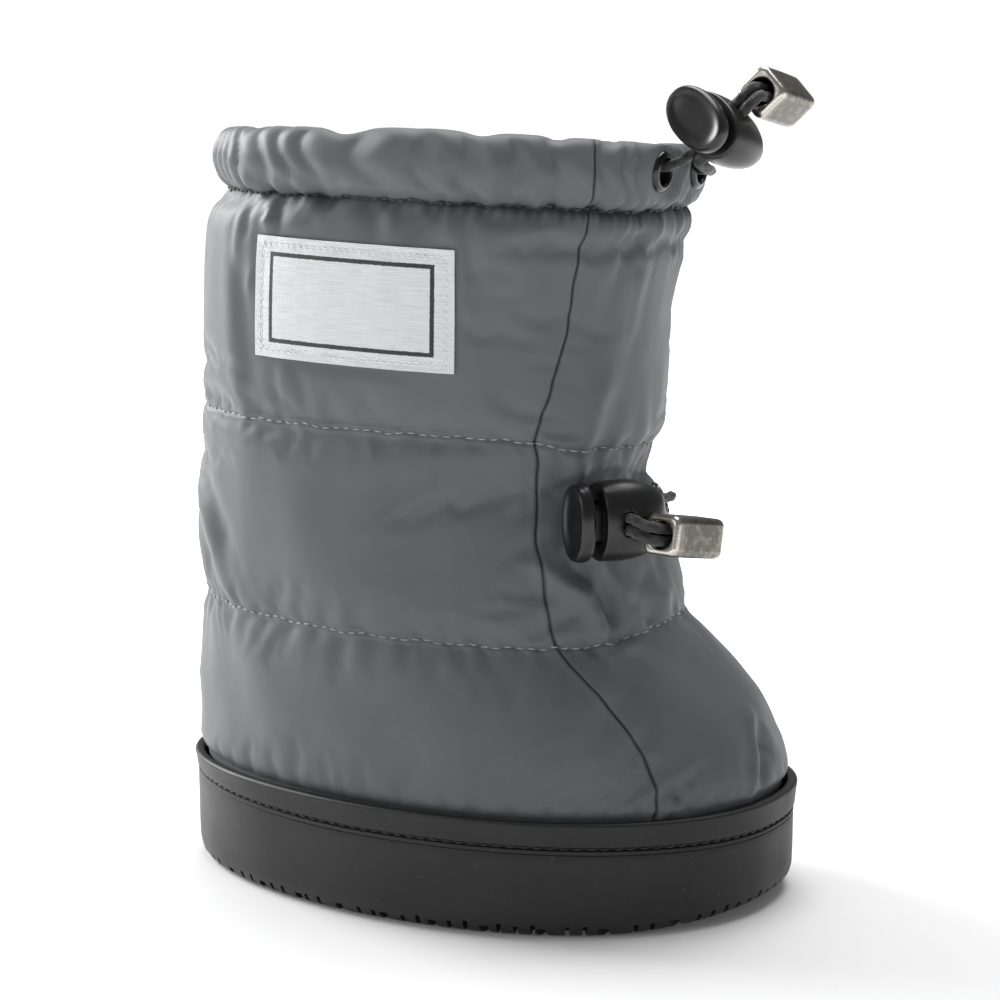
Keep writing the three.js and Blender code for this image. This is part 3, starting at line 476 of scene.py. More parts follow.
def shell_relief(column, zone, turn, points, normals):
    relief = np.where((zone > 1) & (zone < 4), quilt_puff(zone), 0)
    pinch = CASING_PINCH * np.exp(-np.maximum(4 - zone, 0) * 50 / 2.6)
    relief = relief - np.where(zone < 4, pinch, 0)
    tube = through([4, 4.06, 4.2, 4.5, 4.75, 4.9, 5, 5.1, 5.25, 5.5, 5.8, 6],
                   [2.0, 1.1, -0.4, -1.3, -0.5, 0.9, 3, 5.1, 6.3, 6.9, 6.2, 4.6], zone)
    relief = np.where(zone >= 4, -tube, relief)

    lean = -0.11 * (zone - 4.5) * np.sin(turn) + 0.025 * np.sin(9 * zone + 5 * turn)
    ridges, gaps = pleats(turn + np.where(zone > 4, lean, 0.055 * np.sin(turn)), CASING_VALLEYS)
    size = np.clip(gaps * CLOTH_RADIUS * 0.2, 0.45, 1.25)
    inside = np.where(zone > 5, 1 - 0.5 * (zone - 5), 1)
    relief = relief + np.where(zone >= 4, size * (ridges - 0.72) * inside, 0)
    below = seam_distance(turn, np.minimum(zone, 4), 4)
    heel = bump(np.cos(turn), -1, 0.7)
    flare = np.exp(below / (SEAM_REACH[4] * (0.55 + 0.45 * np.sin(17 * turn) ** 2) * (1 - 0.4 * heel)))
    relief = relief + np.where(zone < 4, (0.8 - 0.2 * heel) * size * (ridges - 0.72) * flare, 0)
    fine_ridges, _ = pleats(turn, NEEDLE_VALLEYS)
    reach = 3.2 + 2.4 * np.sin(23 * turn) * np.sin(7 * turn)
    above = (zone - 4) * 13.5
    near_needles = np.where(zone < 4, np.exp(below / reach), np.exp(-above / 1.6))
    relief = relief + (0.42 - 0.14 * heel) * (fine_ridges - 0.7) * near_needles
    over_rim = seam_distance(turn, zone, 1)
    bulge = 1.25 * (1 - np.exp(-np.maximum(over_rim, 0) / 0.9)) * np.exp(-np.maximum(over_rim, 0) / 8)
    relief = relief + np.where((zone > 1) & (zone < 2), bulge, 0)
    for seam, places in QUILT_VALLEYS.items():
        gap = np.abs(seam_distance(turn, zone, seam))
        ridges, _ = pleats(turn + 0.004 * gap * np.sin(11 * turn), places, 1.4)
        strength = 0.38 + 0.18 * np.sin(5 * turn + seam) - 0.06 * heel
        relief = relief + np.where(zone < 4, strength * (ridges - 0.6) * np.exp(-gap / SEAM_REACH[seam]), 0)
    calm = np.clip((zone - 1) / 0.3, 0, 1) * np.where(zone < 4, 1, 0.2)
    relief = relief + 0.38 * calm * waves(turn, zone, 3, 9, 2, 9)
    relief = relief + 0.16 * calm * waves(turn, zone, 4, 9, 9, 22)
    relief = relief + np.where(zone < 5.3, fold_relief(points, normals), 0)
    for side in (-1, 1):
        gap = (np.arctan2(np.sin(column), np.cos(column)) - side * SEAM_TURN) * CLOTH_RADIUS
        groove = -0.5 * np.exp(-(gap / 0.28) ** 2) + 0.2 * np.exp(-((gap + 1.0) / 0.7) ** 2)
        relief = relief + np.where((zone < 4.95), groove, 0)
    for seam in (2, 3):
        gap = seam_distance(turn, zone, seam)
        relief = relief - np.where(zone < 4, 0.3 * np.exp(-(gap / 0.5) ** 2), 0)
    return relief


# %% [markdown]
# The listed folds alone look carved, so the small wrinkles come from a cloth simulation: a thin sheet
# on the same form, held along its seams, a little larger than the form and pushed out from inside. Only
# the fine part of its movement is kept, so the shoe keeps its outline. It is laid over the mesh below.

# %% Wrinkles from a cloth simulation
SIM_COLUMNS = 230
SIM_ROWS_PER_ZONE = 32


def grid_faces(rows, columns, closed=True):
    r, k = np.meshgrid(np.arange(rows - 1), np.arange(columns if closed else columns - 1), indexing="ij")
    right_of = (k + 1) % columns
    corners = (r * columns + k, r * columns + right_of, (r + 1) * columns + right_of, (r + 1) * columns + k)
    return np.stack(corners, axis=-1).reshape(-1, 4)


def new_object(name, vertices, faces, edges=()):
    mesh = bpy.data.meshes.new(name)
    mesh.from_pydata(vertices, list(edges), faces)
    thing = bpy.data.objects.new(name, mesh)
    bpy.context.collection.objects.link(thing)
    return thing


def grid_mesh(name, points, closed=True, caps=()):
    """A mesh from rows of points; caps closes the first row (0) or the last (-1) with a fan."""
    rows, columns = points.shape[:2]
    vertices = points.reshape(-1, 3)
    faces = grid_faces(rows, columns, closed).tolist()
    for cap in caps:
        start = 0 if cap == 0 else (rows - 1) * columns
        centre = len(vertices)
        vertices = np.vstack((vertices, vertices[start:start + columns].mean(axis=0)))
        for k in range(columns):
            a, b = start + k, start + (k + 1) % columns
            faces.append((centre, b, a) if cap == 0 else (centre, a, b))
    thing = new_object(name, (vertices * MM).tolist(), faces)
    thing.data.polygons.foreach_set("use_smooth", [True] * len(thing.data.polygons))
    thing.data.update()
    return thing


def mesh_points(mesh):
    flat = np.empty(len(mesh.vertices) * 3)
    mesh.vertices.foreach_get("co", flat)
    return flat.reshape(-1, 3)


def blur(field, across, up, times):
    """Smooths a field that is closed across its columns."""
    for _ in range(times):
        field = field + across * (np.roll(field, 1, 1) + np.roll(field, -1, 1) - 2 * field)
        padded_field = np.pad(field, ((1, 1), (0, 0)), mode="edge")
        field = field + up * (padded_field[2:] + padded_field[:-2] - 2 * field)
    return field


def simulate_wrinkles():
    """The fine movement of the simulated cloth, in millimetres out of the last."""
    zones = np.linspace(1, 4, 3 * SIM_ROWS_PER_ZONE + 1)
    columns = np.linspace(-math.pi, math.pi, SIM_COLUMNS, endpoint=False)
    column, zone = np.meshgrid(columns, zones)
    turn = real_turn(column, zone)
    points, normals = last_point(turn, zone), last_normal(turn, zone)
    start = points + quilt_puff(zone)[..., None] * normals
    cloth = grid_mesh("wrinkle_cloth", start * 10)
    group = cloth.vertex_groups.new(name="held")
    held = np.abs(zone - np.round(zone)) < 1e-6
    group.add(np.flatnonzero(held.ravel()).tolist(), 1.0, "ADD")
    seam_columns = np.min([np.abs(columns - side * SEAM_TURN) for side in (-1, 1)], axis=0) < 0.014
    along_seams = np.broadcast_to(seam_columns, zone.shape) & ~held
    group.add(np.flatnonzero(along_seams.ravel()).tolist(), 0.35, "ADD")
    modifier = cloth.modifiers.new("cloth", "CLOTH")
    settings = modifier.settings
    settings.vertex_group_mass = "held"
    settings.quality = 6
    settings.mass = 0.15
    settings.tension_stiffness = 25
    settings.compression_stiffness = 25
    settings.shear_stiffness = 8
    settings.bending_stiffness = 0.35
    settings.shrink_min = -0.028
    settings.use_pressure = True
    settings.uniform_pressure_force = 2.2
    settings.effector_weights.gravity = 0
    settings.air_damping = 3
    modifier.collision_settings.use_collision = False
    for number in range(1, 22):
        bpy.context.scene.frame_set(number)
    shaped = cloth.evaluated_get(bpy.context.evaluated_depsgraph_get()).to_mesh()
    moved = mesh_points(shaped).reshape(points.shape) / MM / 10 - start
    bpy.context.scene.frame_set(1)
    bpy.data.objects.remove(cloth)
    out = np.sum(moved * normals, axis=-1)
    fine = out - blur(out, 0.24, 0.24, 46)
    fade = np.clip((np.abs(zone - np.round(zone))) / 0.03, 0, 1)
    print("the simulated cloth moved %.2f mm out, fine part %.2f mm" % (out.max(), np.abs(fine).max()))
    return 0.85 * np.clip(fine, -1.1, 1.1) * (0.35 + 0.65 * fade)


def cubic_weights(t):
    return [-0.5 * t + t * t - 0.5 * t ** 3, 1 - 2.5 * t * t + 1.5 * t ** 3,
            0.5 * t + 2 * t * t - 1.5 * t ** 3, -0.5 * t * t + 0.5 * t ** 3]


def read_field(field, column, zone):
    """A smooth reading of the simulated field at any column and zone."""
    rows, columns = field.shape
    a = (np.arctan2(np.sin(column), np.cos(column)) + math.pi) / (2 * math.pi) * columns
    b = np.clip((zone - 1) / 3, 0, 1) * (rows - 1)
    i, j = np.floor(a).astype(int), np.floor(b).astype(int)
    total = 0 * column
    for m, wa in zip(range(-1, 3), cubic_weights(a - i)):
        for n, wb in zip(range(-1, 3), cubic_weights(b - j)):
            total = total + wa * wb * field[np.clip(j + n, 0, rows - 1), (i + m) % columns]
    return np.where((zone >= 1) & (zone <= 4), total, 0)


wrinkle_field = simulate_wrinkles()

# %% [markdown]
# The shell is one sheet from inside the cup, up over the collar and down to the casing's inner seam. It
# has about 400 columns and 200 rows, with narrow ones at the seams. Its UV map is in metres along the
# cloth, so that the weave has one size all over, and an attribute tells the material how near a seam is,
# for the painted shade in the seams' grooves and needle holes.

# %% Shell mesh
def spread_rows():
    rows = [np.linspace(0.9, 1, 4)]
    for zone, count in ((1, 40), (2, 48), (3, 52)):
        rows.append(np.linspace(zone, zone + 1, count))
    rows.append(np.linspace(4, 6, 52))
    close = np.array([0.25, 0.5, 0.85, 1.3])
    for seam, below, above in ((2, 36.5, 45), (3, 45, 50), (4, 50, 0)):
        rows.append(seam - close / below)
        if above:
            rows.append(seam + close / above)
    rows.append([4.012, 4.025, 4.045])
    return np.unique(np.round(np.concatenate(rows), 5))


def spread_columns():
    even = np.linspace(-math.pi, math.pi, 420, endpoint=False)
    close = np.array([-1.4, -0.9, -0.55, -0.3, -0.15, 0, 0.15, 0.3, 0.55, 0.9, 1.4]) / CLOTH_RADIUS
    even = even[np.abs(np.abs(even) - SEAM_TURN) > 0.036]
    return np.sort(np.concatenate((even, close - SEAM_TURN, close + SEAM_TURN)))


def shell_surface(column, zone):
    turn = real_turn(column, zone)
    points, normals = last_point(turn, zone), last_normal(turn, zone)
    relief = shell_relief(column, zone, turn, points, normals) + read_field(wrinkle_field, column, zone)
    flat = np.where((zone > 3) & (zone < 4), quilt_puff(zone), relief)
    relief = relief + 0.85 * label_hold(points) * (flat - relief)
    points = points + relief[..., None] * normals
    return press_eyelets(points)


SHELL_ZONES, SHELL_COLUMNS = spread_rows(), spread_columns()
shell_column, shell_zone = np.meshgrid(SHELL_COLUMNS, SHELL_ZONES)
shell_points = shell_surface(shell_column, shell_zone)
to_row_frame = np.array([0, Y_SHIFT, 0])
shell = grid_mesh("shell", shell_points + to_row_frame)
print("shell:", shell_points.shape, "triangles", 2 * len(shell.data.polygons))


def add_uv(thing, u, v):
    """A UV map from values at the mesh's vertices; the last column closes on the first."""
    layer = thing.data.uv_layers.new(name="cloth")
    loops = np.empty(len(thing.data.loops), int)
    thing.data.loops.foreach_get("vertex_index", loops)
    uv = np.stack((u.ravel()[loops], v.ravel()[loops]), axis=-1)
    quads = uv[:len(uv) // 4 * 4].reshape(-1, 4, 2)
    jump = quads[:, :, 0].max(axis=1) - quads[:, :, 0].min(axis=1) > 0.5 * (u.max() - u.min())
    period = u.max() - u.min() + (u.ravel()[1] - u.ravel()[0])
    wrap = jump[:, None] & (quads[:, :, 0] < 0.5 * (u.max() + u.min()))
    quads[:, :, 0] += wrap * period
    layer.data.foreach_set("uv", uv.ravel())


def add_mask(thing, name, values):
    layer = thing.data.attributes.new(name, "FLOAT", "POINT")
    layer.data.foreach_set("value", np.asarray(values, np.float32).ravel())


add_uv(shell, shell_column * 0.045, shell_points[..., 2] * MM + 0.03 * np.maximum(shell_zone - 5, 0))
# The seam mask is painted shade: near black in the side seams' grooves and the casing's needle holes, faint at
# the quilt seams.
side_gap = np.min([np.abs(shell_column - side * SEAM_TURN) for side in (-1, 1)], axis=0) * CLOTH_RADIUS
side_seam_shade = np.exp(-(side_gap / 0.25) ** 2) * (shell_zone < 4.95)
quilt_seam_shade = np.zeros_like(shell_zone)
for quilt in (2, 3):
    quilt_seam_shade += np.exp(-(seam_distance(shell_column, shell_zone, quilt) / 0.4) ** 2) * (shell_zone < 4)
CASING_PITCH = 2.3
needle_hole = 0.5 + 0.5 * np.cos(shell_column * CLOTH_RADIUS * 2 * math.pi / CASING_PITCH)
casing_seam_shade = np.exp(-((shell_zone - 4) * 30 / (0.6 + 0.6 * needle_hole)) ** 2)
add_mask(shell, "seam", np.clip(1.1 * side_seam_shade + 0.1 * quilt_seam_shade + 0.9 * casing_seam_shade, 0, 1))

# %% [markdown]
# The lining is plain soft cloth. It hangs from the casing's inner seam to the insole, puffs a little
# between the quilting's stitches and is only seen from above.

# %% Lining mesh
lining_turns = np.linspace(-math.pi, math.pi, 128, endpoint=False)
lining_zone, lining_column = np.meshgrid(np.linspace(4, 0.24, 66), lining_turns, indexing="ij")
lining_share = lining_zone - np.floor(np.minimum(lining_zone, 3.9999))
lining_inset = UPPER_WALL + np.where(lining_zone > 1, 0.9 * np.sin(math.pi * lining_share) ** 0.7, 0)
lining_inset = lining_inset + 1.9 * bump(lining_zone, 4, 0.2)
for lining_seam, lining_places in QUILT_VALLEYS.items():
    lining_gap = np.abs(seam_distance(lining_column, lining_zone, lining_seam))
    puckers, _ = pleats(lining_column, lining_places)
    lining_inset = lining_inset + 0.4 * (puckers - 0.6) * np.exp(-lining_gap / 5)
lining_points = (last_point(lining_column, lining_zone)
                 - lining_inset[..., None] * last_normal(lining_column, np.clip(lining_zone, 0.95, 4)))
lining = grid_mesh("lining", lining_points + to_row_frame)
add_uv(lining, lining_column * 0.045, lining_zone * 0.045)

# %% [markdown]
# Stitches repeat along a line, so Geometry Nodes make them: the line is resampled at the stitch's pitch
# and a small round thread is set on each point, turned along the line and away from the cloth. The same
# tree serves the quilting, the casing, the label and the sole. Its result is made a plain mesh.

# %% Stitch tool
def stitch_tree():
    tree = bpy.data.node_groups.new("stitch_row", "GeometryNodeTree")
    sockets = tree.interface
    sockets.new_socket("Geometry", in_out="INPUT", socket_type="NodeSocketGeometry")
    for name in ("Pitch", "Length", "Thickness", "Wander"):
        sockets.new_socket(name, in_out="INPUT", socket_type="NodeSocketFloat")
    sockets.new_socket("Material", in_out="INPUT", socket_type="NodeSocketMaterial")
    sockets.new_socket("Geometry", in_out="OUTPUT", socket_type="NodeSocketGeometry")
    add, link = tree.nodes.new, tree.links.new
    given, result = add("NodeGroupInput"), add("NodeGroupOutput")
    curve, even = add("GeometryNodeMeshToCurve"), add("GeometryNodeResampleCurve")
    even.mode = "LENGTH"
    ball = add("GeometryNodeMeshUVSphere")
    ball.inputs["Segments"].default_value = 6
    ball.inputs["Rings"].default_value = 5
    ball.inputs["Radius"].default_value = 0.5
    size = add("ShaderNodeCombineXYZ")
    shape = add("GeometryNodeTransform")
    tangent, outward = add("GeometryNodeInputTangent"), add("GeometryNodeInputNamedAttribute")
    outward.data_type = "FLOAT_VECTOR"
    outward.inputs["Name"].default_value = "out"
    along, upright = add("FunctionNodeAlignRotationToVector"), add("FunctionNodeAlignRotationToVector")
    along.axis, upright.axis, upright.pivot_axis = "X", "Z", "X"
    wander, half = add("FunctionNodeRandomValue"), add("ShaderNodeMath")
    wander.data_type = "FLOAT"
    wander.inputs["Seed"].default_value = 4
    half.operation = "MULTIPLY"
    half.inputs[1].default_value = -1
    twist, turned = add("ShaderNodeCombineXYZ"), add("FunctionNodeRotateRotation")
    turned.rotation_space = "LOCAL"
    place = add("GeometryNodeInstanceOnPoints")
    real, paint = add("GeometryNodeRealizeInstances"), add("GeometryNodeSetMaterial")
    smooth = add("GeometryNodeSetShadeSmooth")
    link(given.outputs["Geometry"], curve.inputs["Mesh"])
    link(curve.outputs["Curve"], even.inputs["Curve"])
    link(given.outputs["Pitch"], even.inputs["Length"])
    link(given.outputs["Length"], size.inputs[0])
    link(given.outputs["Thickness"], size.inputs[1])
    link(given.outputs["Thickness"], size.inputs[2])
    link(ball.outputs["Mesh"], shape.inputs["Geometry"])
    link(size.outputs[0], shape.inputs["Scale"])
    link(tangent.outputs[0], along.inputs["Vector"])
    link(along.outputs[0], upright.inputs["Rotation"])
    link(outward.outputs["Attribute"], upright.inputs["Vector"])
    link(given.outputs["Wander"], wander.inputs["Max"])
    link(given.outputs["Wander"], half.inputs[0])
    link(half.outputs[0], wander.inputs["Min"])
    link(wander.outputs["Value"], twist.inputs[2])
    link(upright.outputs[0], turned.inputs["Rotation"])
    link(twist.outputs[0], turned.inputs["Rotate By"])
    link(even.outputs["Curve"], place.inputs["Points"])
    link(shape.outputs["Geometry"], place.inputs["Instance"])
    link(turned.outputs[0], place.inputs["Rotation"])
    link(place.outputs["Instances"], real.inputs["Geometry"])
    link(real.outputs["Geometry"], smooth.inputs["Geometry"])
    link(smooth.outputs["Geometry"], paint.inputs["Geometry"])
    link(given.outputs["Material"], paint.inputs["Material"])
    link(paint.outputs["Geometry"], result.inputs["Geometry"])
    return tree


STITCH_TREE = stitch_tree()
STITCH_INPUTS = {item.name: item.identifier for item in STITCH_TREE.interface.items_tree
                 if item.in_out == "INPUT"}


def stitch_row(name, lines, pitch, length, thickness, material, wander=0.1):
    """Stitches along lines of (points, outward directions), in millimetres of the row's frame."""
    vertices, edges, outs = [], [], []
    for points, directions in lines:
        first = len(vertices)
        vertices.extend((np.asarray(points) * MM).tolist())
        outs.extend(np.asarray(directions).tolist())
        edges.extend((first + k, first + k + 1) for k in range(len(points) - 1))
    line = new_object(name + "_line", vertices, [], edges)
    layer = line.data.attributes.new("out", "FLOAT_VECTOR", "POINT")
    layer.data.foreach_set("vector", np.asarray(outs, np.float32).ravel())
    modifier = line.modifiers.new("stitches", "NODES")
    modifier.node_group = STITCH_TREE
    for key, value in (("Pitch", pitch * MM), ("Length", length * MM), ("Thickness", thickness * MM),
                       ("Wander", wander), ("Material", material)):
        modifier[STITCH_INPUTS[key]] = value
    line.update_tag()
    depsgraph = bpy.context.evaluated_depsgraph_get()
    result = bpy.data.meshes.new_from_object(line.evaluated_get(depsgraph))
    bpy.data.objects.remove(line)
    thing = bpy.data.objects.new(name, result)
    bpy.context.collection.objects.link(thing)
    print(name, "stitches:", len(result.vertices) // 26)
    return thing


# %% [markdown]
# Materials. A node group gives the cloth's weave from its UV map, another one the fine grain of moulded
# rubber and plastic, and a third the fibres of thread and brushed cloth. Each is built once and used with
# its own values. Colours that are the same all over are set on the shader itself.

# %% Material helpers
def new_material(name, colour, roughness, **inputs):
    material = bpy.data.materials.new(name)
    material.use_nodes = True
    shader = material.node_tree.nodes["Principled BSDF"]
    shader.inputs["Base Color"].default_value = (*colour, 1)
    shader.inputs["Roughness"].default_value = roughness
    for key, value in inputs.items():
        shader.inputs[key.replace("_", " ")].default_value = value
    material.diffuse_color = (*colour, 1)
    return material, material.node_tree, shader


def add_node(tree, kind, **settings):
    """Adds a node; a setting that names one of its inputs is set there, any other on the node."""
    node = tree.nodes.new(kind)
    for key, value in settings.items():
        label = key.replace("_", " ")
        if hasattr(node, key):
            setattr(node, key, value)
        else:
            node.inputs[label].default_value = value
    return node


def group_tree(name, inputs, outputs):
    tree = bpy.data.node_groups.new(name, "ShaderNodeTree")
    for label, value in inputs:
        kind = "NodeSocketVector" if label == "Vector" else "NodeSocketFloat"
        socket = tree.interface.new_socket(label, in_out="INPUT", socket_type=kind)
        if label != "Vector":
            socket.default_value = value
    for label in outputs:
        tree.interface.new_socket(label, in_out="OUTPUT", socket_type="NodeSocketFloat")
    return tree, tree.nodes.new("NodeGroupInput"), tree.nodes.new("NodeGroupOutput")


def calc(tree, operation, a, b=0.0, c=0.0):
    """A Math node; a, b and c are sockets or numbers."""
    node = add_node(tree, "ShaderNodeMath", operation=operation)
    for index, value in enumerate((a, b, c)):
        if hasattr(value, "links"):
            tree.links.new(value, node.inputs[index])
        else:
            node.inputs[index].default_value = value
    return node.outputs[0]


def weave_group():
    """Plain weave: warp and weft threads that pass over each other in turn."""
    tree, given, result = group_tree("weave", [("Vector", 0), ("Threads", 3000.0)], ["Height"])
    scaled = add_node(tree, "ShaderNodeVectorMath", operation="SCALE")
    tree.links.new(given.outputs["Vector"], scaled.inputs[0])
    tree.links.new(given.outputs["Threads"], scaled.inputs["Scale"])
    parts = add_node(tree, "ShaderNodeSeparateXYZ")
    tree.links.new(scaled.outputs[0], parts.inputs[0])
    warp = calc(tree, "ABSOLUTE", calc(tree, "SINE", calc(tree, "MULTIPLY", parts.outputs[0], math.pi)))
    weft = calc(tree, "ABSOLUTE", calc(tree, "SINE", calc(tree, "MULTIPLY", parts.outputs[1], math.pi)))
    cells = [calc(tree, "FLOOR", parts.outputs[i]) for i in (0, 1)]
    sum_cells = calc(tree, "ADD", *cells)
    over = calc(tree, "MODULO", calc(tree, "ABSOLUTE", sum_cells), 2.0)
    height = calc(tree, "ADD", calc(tree, "MULTIPLY", warp, over),
                  calc(tree, "MULTIPLY", weft, calc(tree, "SUBTRACT", 1.0, over)))
    tree.links.new(height, result.inputs["Height"])
    return tree


def grain_group():
    """Fine pits of a moulded surface with slow waves under them."""
    tree, given, result = group_tree("grain", [("Vector", 0), ("Scale", 900.0)], ["Height", "Cloud"])
    fine = add_node(tree, "ShaderNodeTexNoise", Detail=3.0, Roughness=0.6)
    slow = add_node(tree, "ShaderNodeTexNoise", Scale=42.0, Detail=4.0, Roughness=0.55)
    for texture in (fine, slow):
        tree.links.new(given.outputs["Vector"], texture.inputs["Vector"])
    tree.links.new(given.outputs["Scale"], fine.inputs["Scale"])
    height = calc(tree, "MULTIPLY_ADD", fine.outputs[0], 0.35, slow.outputs[0])
    tree.links.new(height, result.inputs["Height"])
    tree.links.new(slow.outputs[0], result.inputs["Cloud"])
    return tree


def fibre_group():
    """The short fibres on thread, cord and brushed cloth."""
    tree, given, result = group_tree("fibre", [("Vector", 0), ("Scale", 2500.0)], ["Height"])
    fibre = add_node(tree, "ShaderNodeTexNoise", Detail=3.0, Roughness=0.6)
    tree.links.new(given.outputs["Vector"], fibre.inputs["Vector"])
    tree.links.new(given.outputs["Scale"], fibre.inputs["Scale"])
    tree.links.new(fibre.outputs[0], result.inputs["Height"])
    return tree


WEAVE, GRAIN, FIBRE = weave_group(), grain_group(), fibre_group()


def object_place(tree):
    return add_node(tree, "ShaderNodeTexCoord").outputs["Object"]


def noise(tree, source, **settings):
    """A noise texture's value, read at source."""
    node = add_node(tree, "ShaderNodeTexNoise", **settings)
    tree.links.new(source, node.inputs["Vector"])
    return node.outputs[0]


def mix_colour(tree, amount, first, second):
    """Goes from the first colour, which may be a socket, to the second."""
    node = add_node(tree, "ShaderNodeMix", data_type="RGBA")
    tree.links.new(amount, node.inputs[0])
    if hasattr(first, "links"):
        tree.links.new(first, node.inputs[6])
    else:
        node.inputs[6].default_value = (*first, 1)
    node.inputs[7].default_value = (*second, 1)
    return node.outputs[2]


def use_group(tree, group, source, **inputs):
    node = add_node(tree, "ShaderNodeGroup", node_tree=group, **inputs)
    tree.links.new(source, node.inputs["Vector"])
    return node


def ramp(tree, value, stops):
    """Turns a value into a colour; stops are (position, colour)."""
    node = add_node(tree, "ShaderNodeValToRGB")
    band = node.color_ramp
    while len(band.elements) < len(stops):
        band.elements.new(0.5)
    for element, (position, colour) in zip(band.elements, stops):
        element.position = position
        element.color = (*colour, 1)
    tree.links.new(value, node.inputs[0])
    return node.outputs[0]


def add_bump(tree, shader, height, strength, distance, under=None):
    node = add_node(tree, "ShaderNodeBump", Strength=strength, Distance=distance)
    tree.links.new(height, node.inputs["Height"])
    if under is not None:
        tree.links.new(under, node.inputs["Normal"])
    tree.links.new(node.outputs[0], shader.inputs["Normal"])
    return node.outputs[0]


def remap(tree, value, low, high, to_low, to_high):
    node = add_node(tree, "ShaderNodeMapRange")
    for index, number in zip((1, 2, 3, 4), (low, high, to_low, to_high)):
        node.inputs[index].default_value = number
    tree.links.new(value, node.inputs[0])
    return node.outputs[0]


# %% [markdown]
# The shell is taffeta: nylon yarns so fine that only a satin gleam and faint crossing lines show. Its
# colour is a cool mid grey with slow clouds, with painted shade in the seams' grooves and needle holes:
# near black at the side seams and the casing's seam, faint at the quilt seams. The small creases that
# stay in nylon after packing are a stretched noise in the bump.

# %% Nylon shell
def nylon():
    material, tree, shader = new_material("nylon_taffeta", (0.098, 0.102, 0.111), 0.55, Sheen_Weight=0.08,
                                          Sheen_Roughness=0.4, Specular_IOR_Level=0.42)
    uv = add_node(tree, "ShaderNodeUVMap", uv_map="cloth").outputs[0]
    clouds = noise(tree, object_place(tree), Scale=38.0, Detail=5.0, Roughness=0.6)
    colour = ramp(tree, clouds, [(0.3, (0.088, 0.092, 0.100)), (0.7, (0.108, 0.113, 0.122))])
    # Painted shade: the seam mask darkens the cloth to near black in the seams' grooves and needle holes.
    seam = add_node(tree, "ShaderNodeAttribute", attribute_name="seam").outputs["Fac"]
    tree.links.new(mix_colour(tree, seam, colour, (0.012, 0.012, 0.013)), shader.inputs["Base Color"])
    tree.links.new(remap(tree, clouds, 0.3, 0.7, 0.48, 0.6), shader.inputs["Roughness"])
    weave = use_group(tree, WEAVE, uv, Threads=2600.0)
    first = add_bump(tree, shader, weave.outputs[0], 0.1, 0.00006)
    stretch = add_node(tree, "ShaderNodeMapping")
    stretch.inputs["Scale"].default_value = (210, 120, 1)
    tree.links.new(uv, stretch.inputs["Vector"])
    creases = noise(tree, stretch.outputs[0], Scale=1.0, Detail=3.0, Roughness=0.5, Distortion=0.8)
    add_bump(tree, shader, creases, 0.16, 0.0007, first)
    return material


NYLON = nylon()


def fibrous(name, colour, roughness, sheen, scale, fibre_shade, strength, depth):
    """Cloth or thread with short fibres, a fine bump and painted shade where the bump is low."""
    material, tree, shader = new_material(name, colour, roughness, Sheen_Weight=sheen)
    fibre = use_group(tree, FIBRE, object_place(tree), Scale=scale).outputs[0]
    # Painted shade: the colour goes darker where the fibre noise, which is also the bump's height, is low.
    stops = [(0.35, tuple(fibre_shade * c for c in colour)), (0.65, colour)]
    tree.links.new(ramp(tree, fibre, stops), shader.inputs["Base Color"])
    add_bump(tree, shader, fibre, strength, depth)
    return material


LINING = fibrous("brushed_lining", (0.05, 0.053, 0.056), 0.9, 0.3, 900.0, 0.65, 0.6, 0.0005)
INSOLE = fibrous("insole_felt", (0.04, 0.041, 0.043), 0.9, 0.3, 1400.0, 0.65, 0.6, 0.0005)


# %% [markdown]
# Sewing thread is twisted; here it gets a fine fibre bump and a soft gleam. The quilting's thread is
# lighter than the cloth, the casing's and the sole's are darker.

# %% Thread
def thread(name, colour, roughness=0.6):
    return fibrous(name, colour, roughness, 0.2, 2500.0, 0.7, 0.4, 0.0001)


QUILT_THREAD = thread("quilt_thread", (0.34, 0.345, 0.35))
CASING_THREAD = thread("casing_thread", (0.03, 0.031, 0.033))
SOLE_THREAD = thread("sole_thread", (0.012, 0.012, 0.012), 0.5)
LABEL_THREAD = thread("label_thread", (0.85, 0.85, 0.86))

# %% [markdown]
# Quilting stitches lie in their grooves; the casing's stitches are pulled in deeper, and between them
# the needle holes show as dots of painted shade on the cloth.

# %% Stitches on the shell
def seam_line(zone, lift, samples=1500):
    columns = np.linspace(-math.pi, math.pi, samples)
    zones = np.full_like(columns, zone)
    points = shell_surface(columns, zones)
    normals = last_normal(real_turn(columns, zones), zones)
    return points + lift * normals + to_row_frame, normals


quilt_lines = [seam_line(2, 0.12), seam_line(3, 0.12)]
quilt_stitches = stitch_row("quilt_stitches", quilt_lines, 2.6, 2.05, 0.42, QUILT_THREAD)
casing_stitches = stitch_row("casing_stitches", [seam_line(4.0, 0.36)], CASING_PITCH, 1.5, 0.58,
                             CASING_THREAD, 0.45)

# %% [markdown]
# The sole is one moulded cup. Rings of the outline, each drawn in a little, give the rolled rim, the
# groove for the stitches, the thin parting line under it and the round foot of the wall. The lug grooves
# and the small notches along the edge of the tread are cut out of it, as a mould's ribs do.

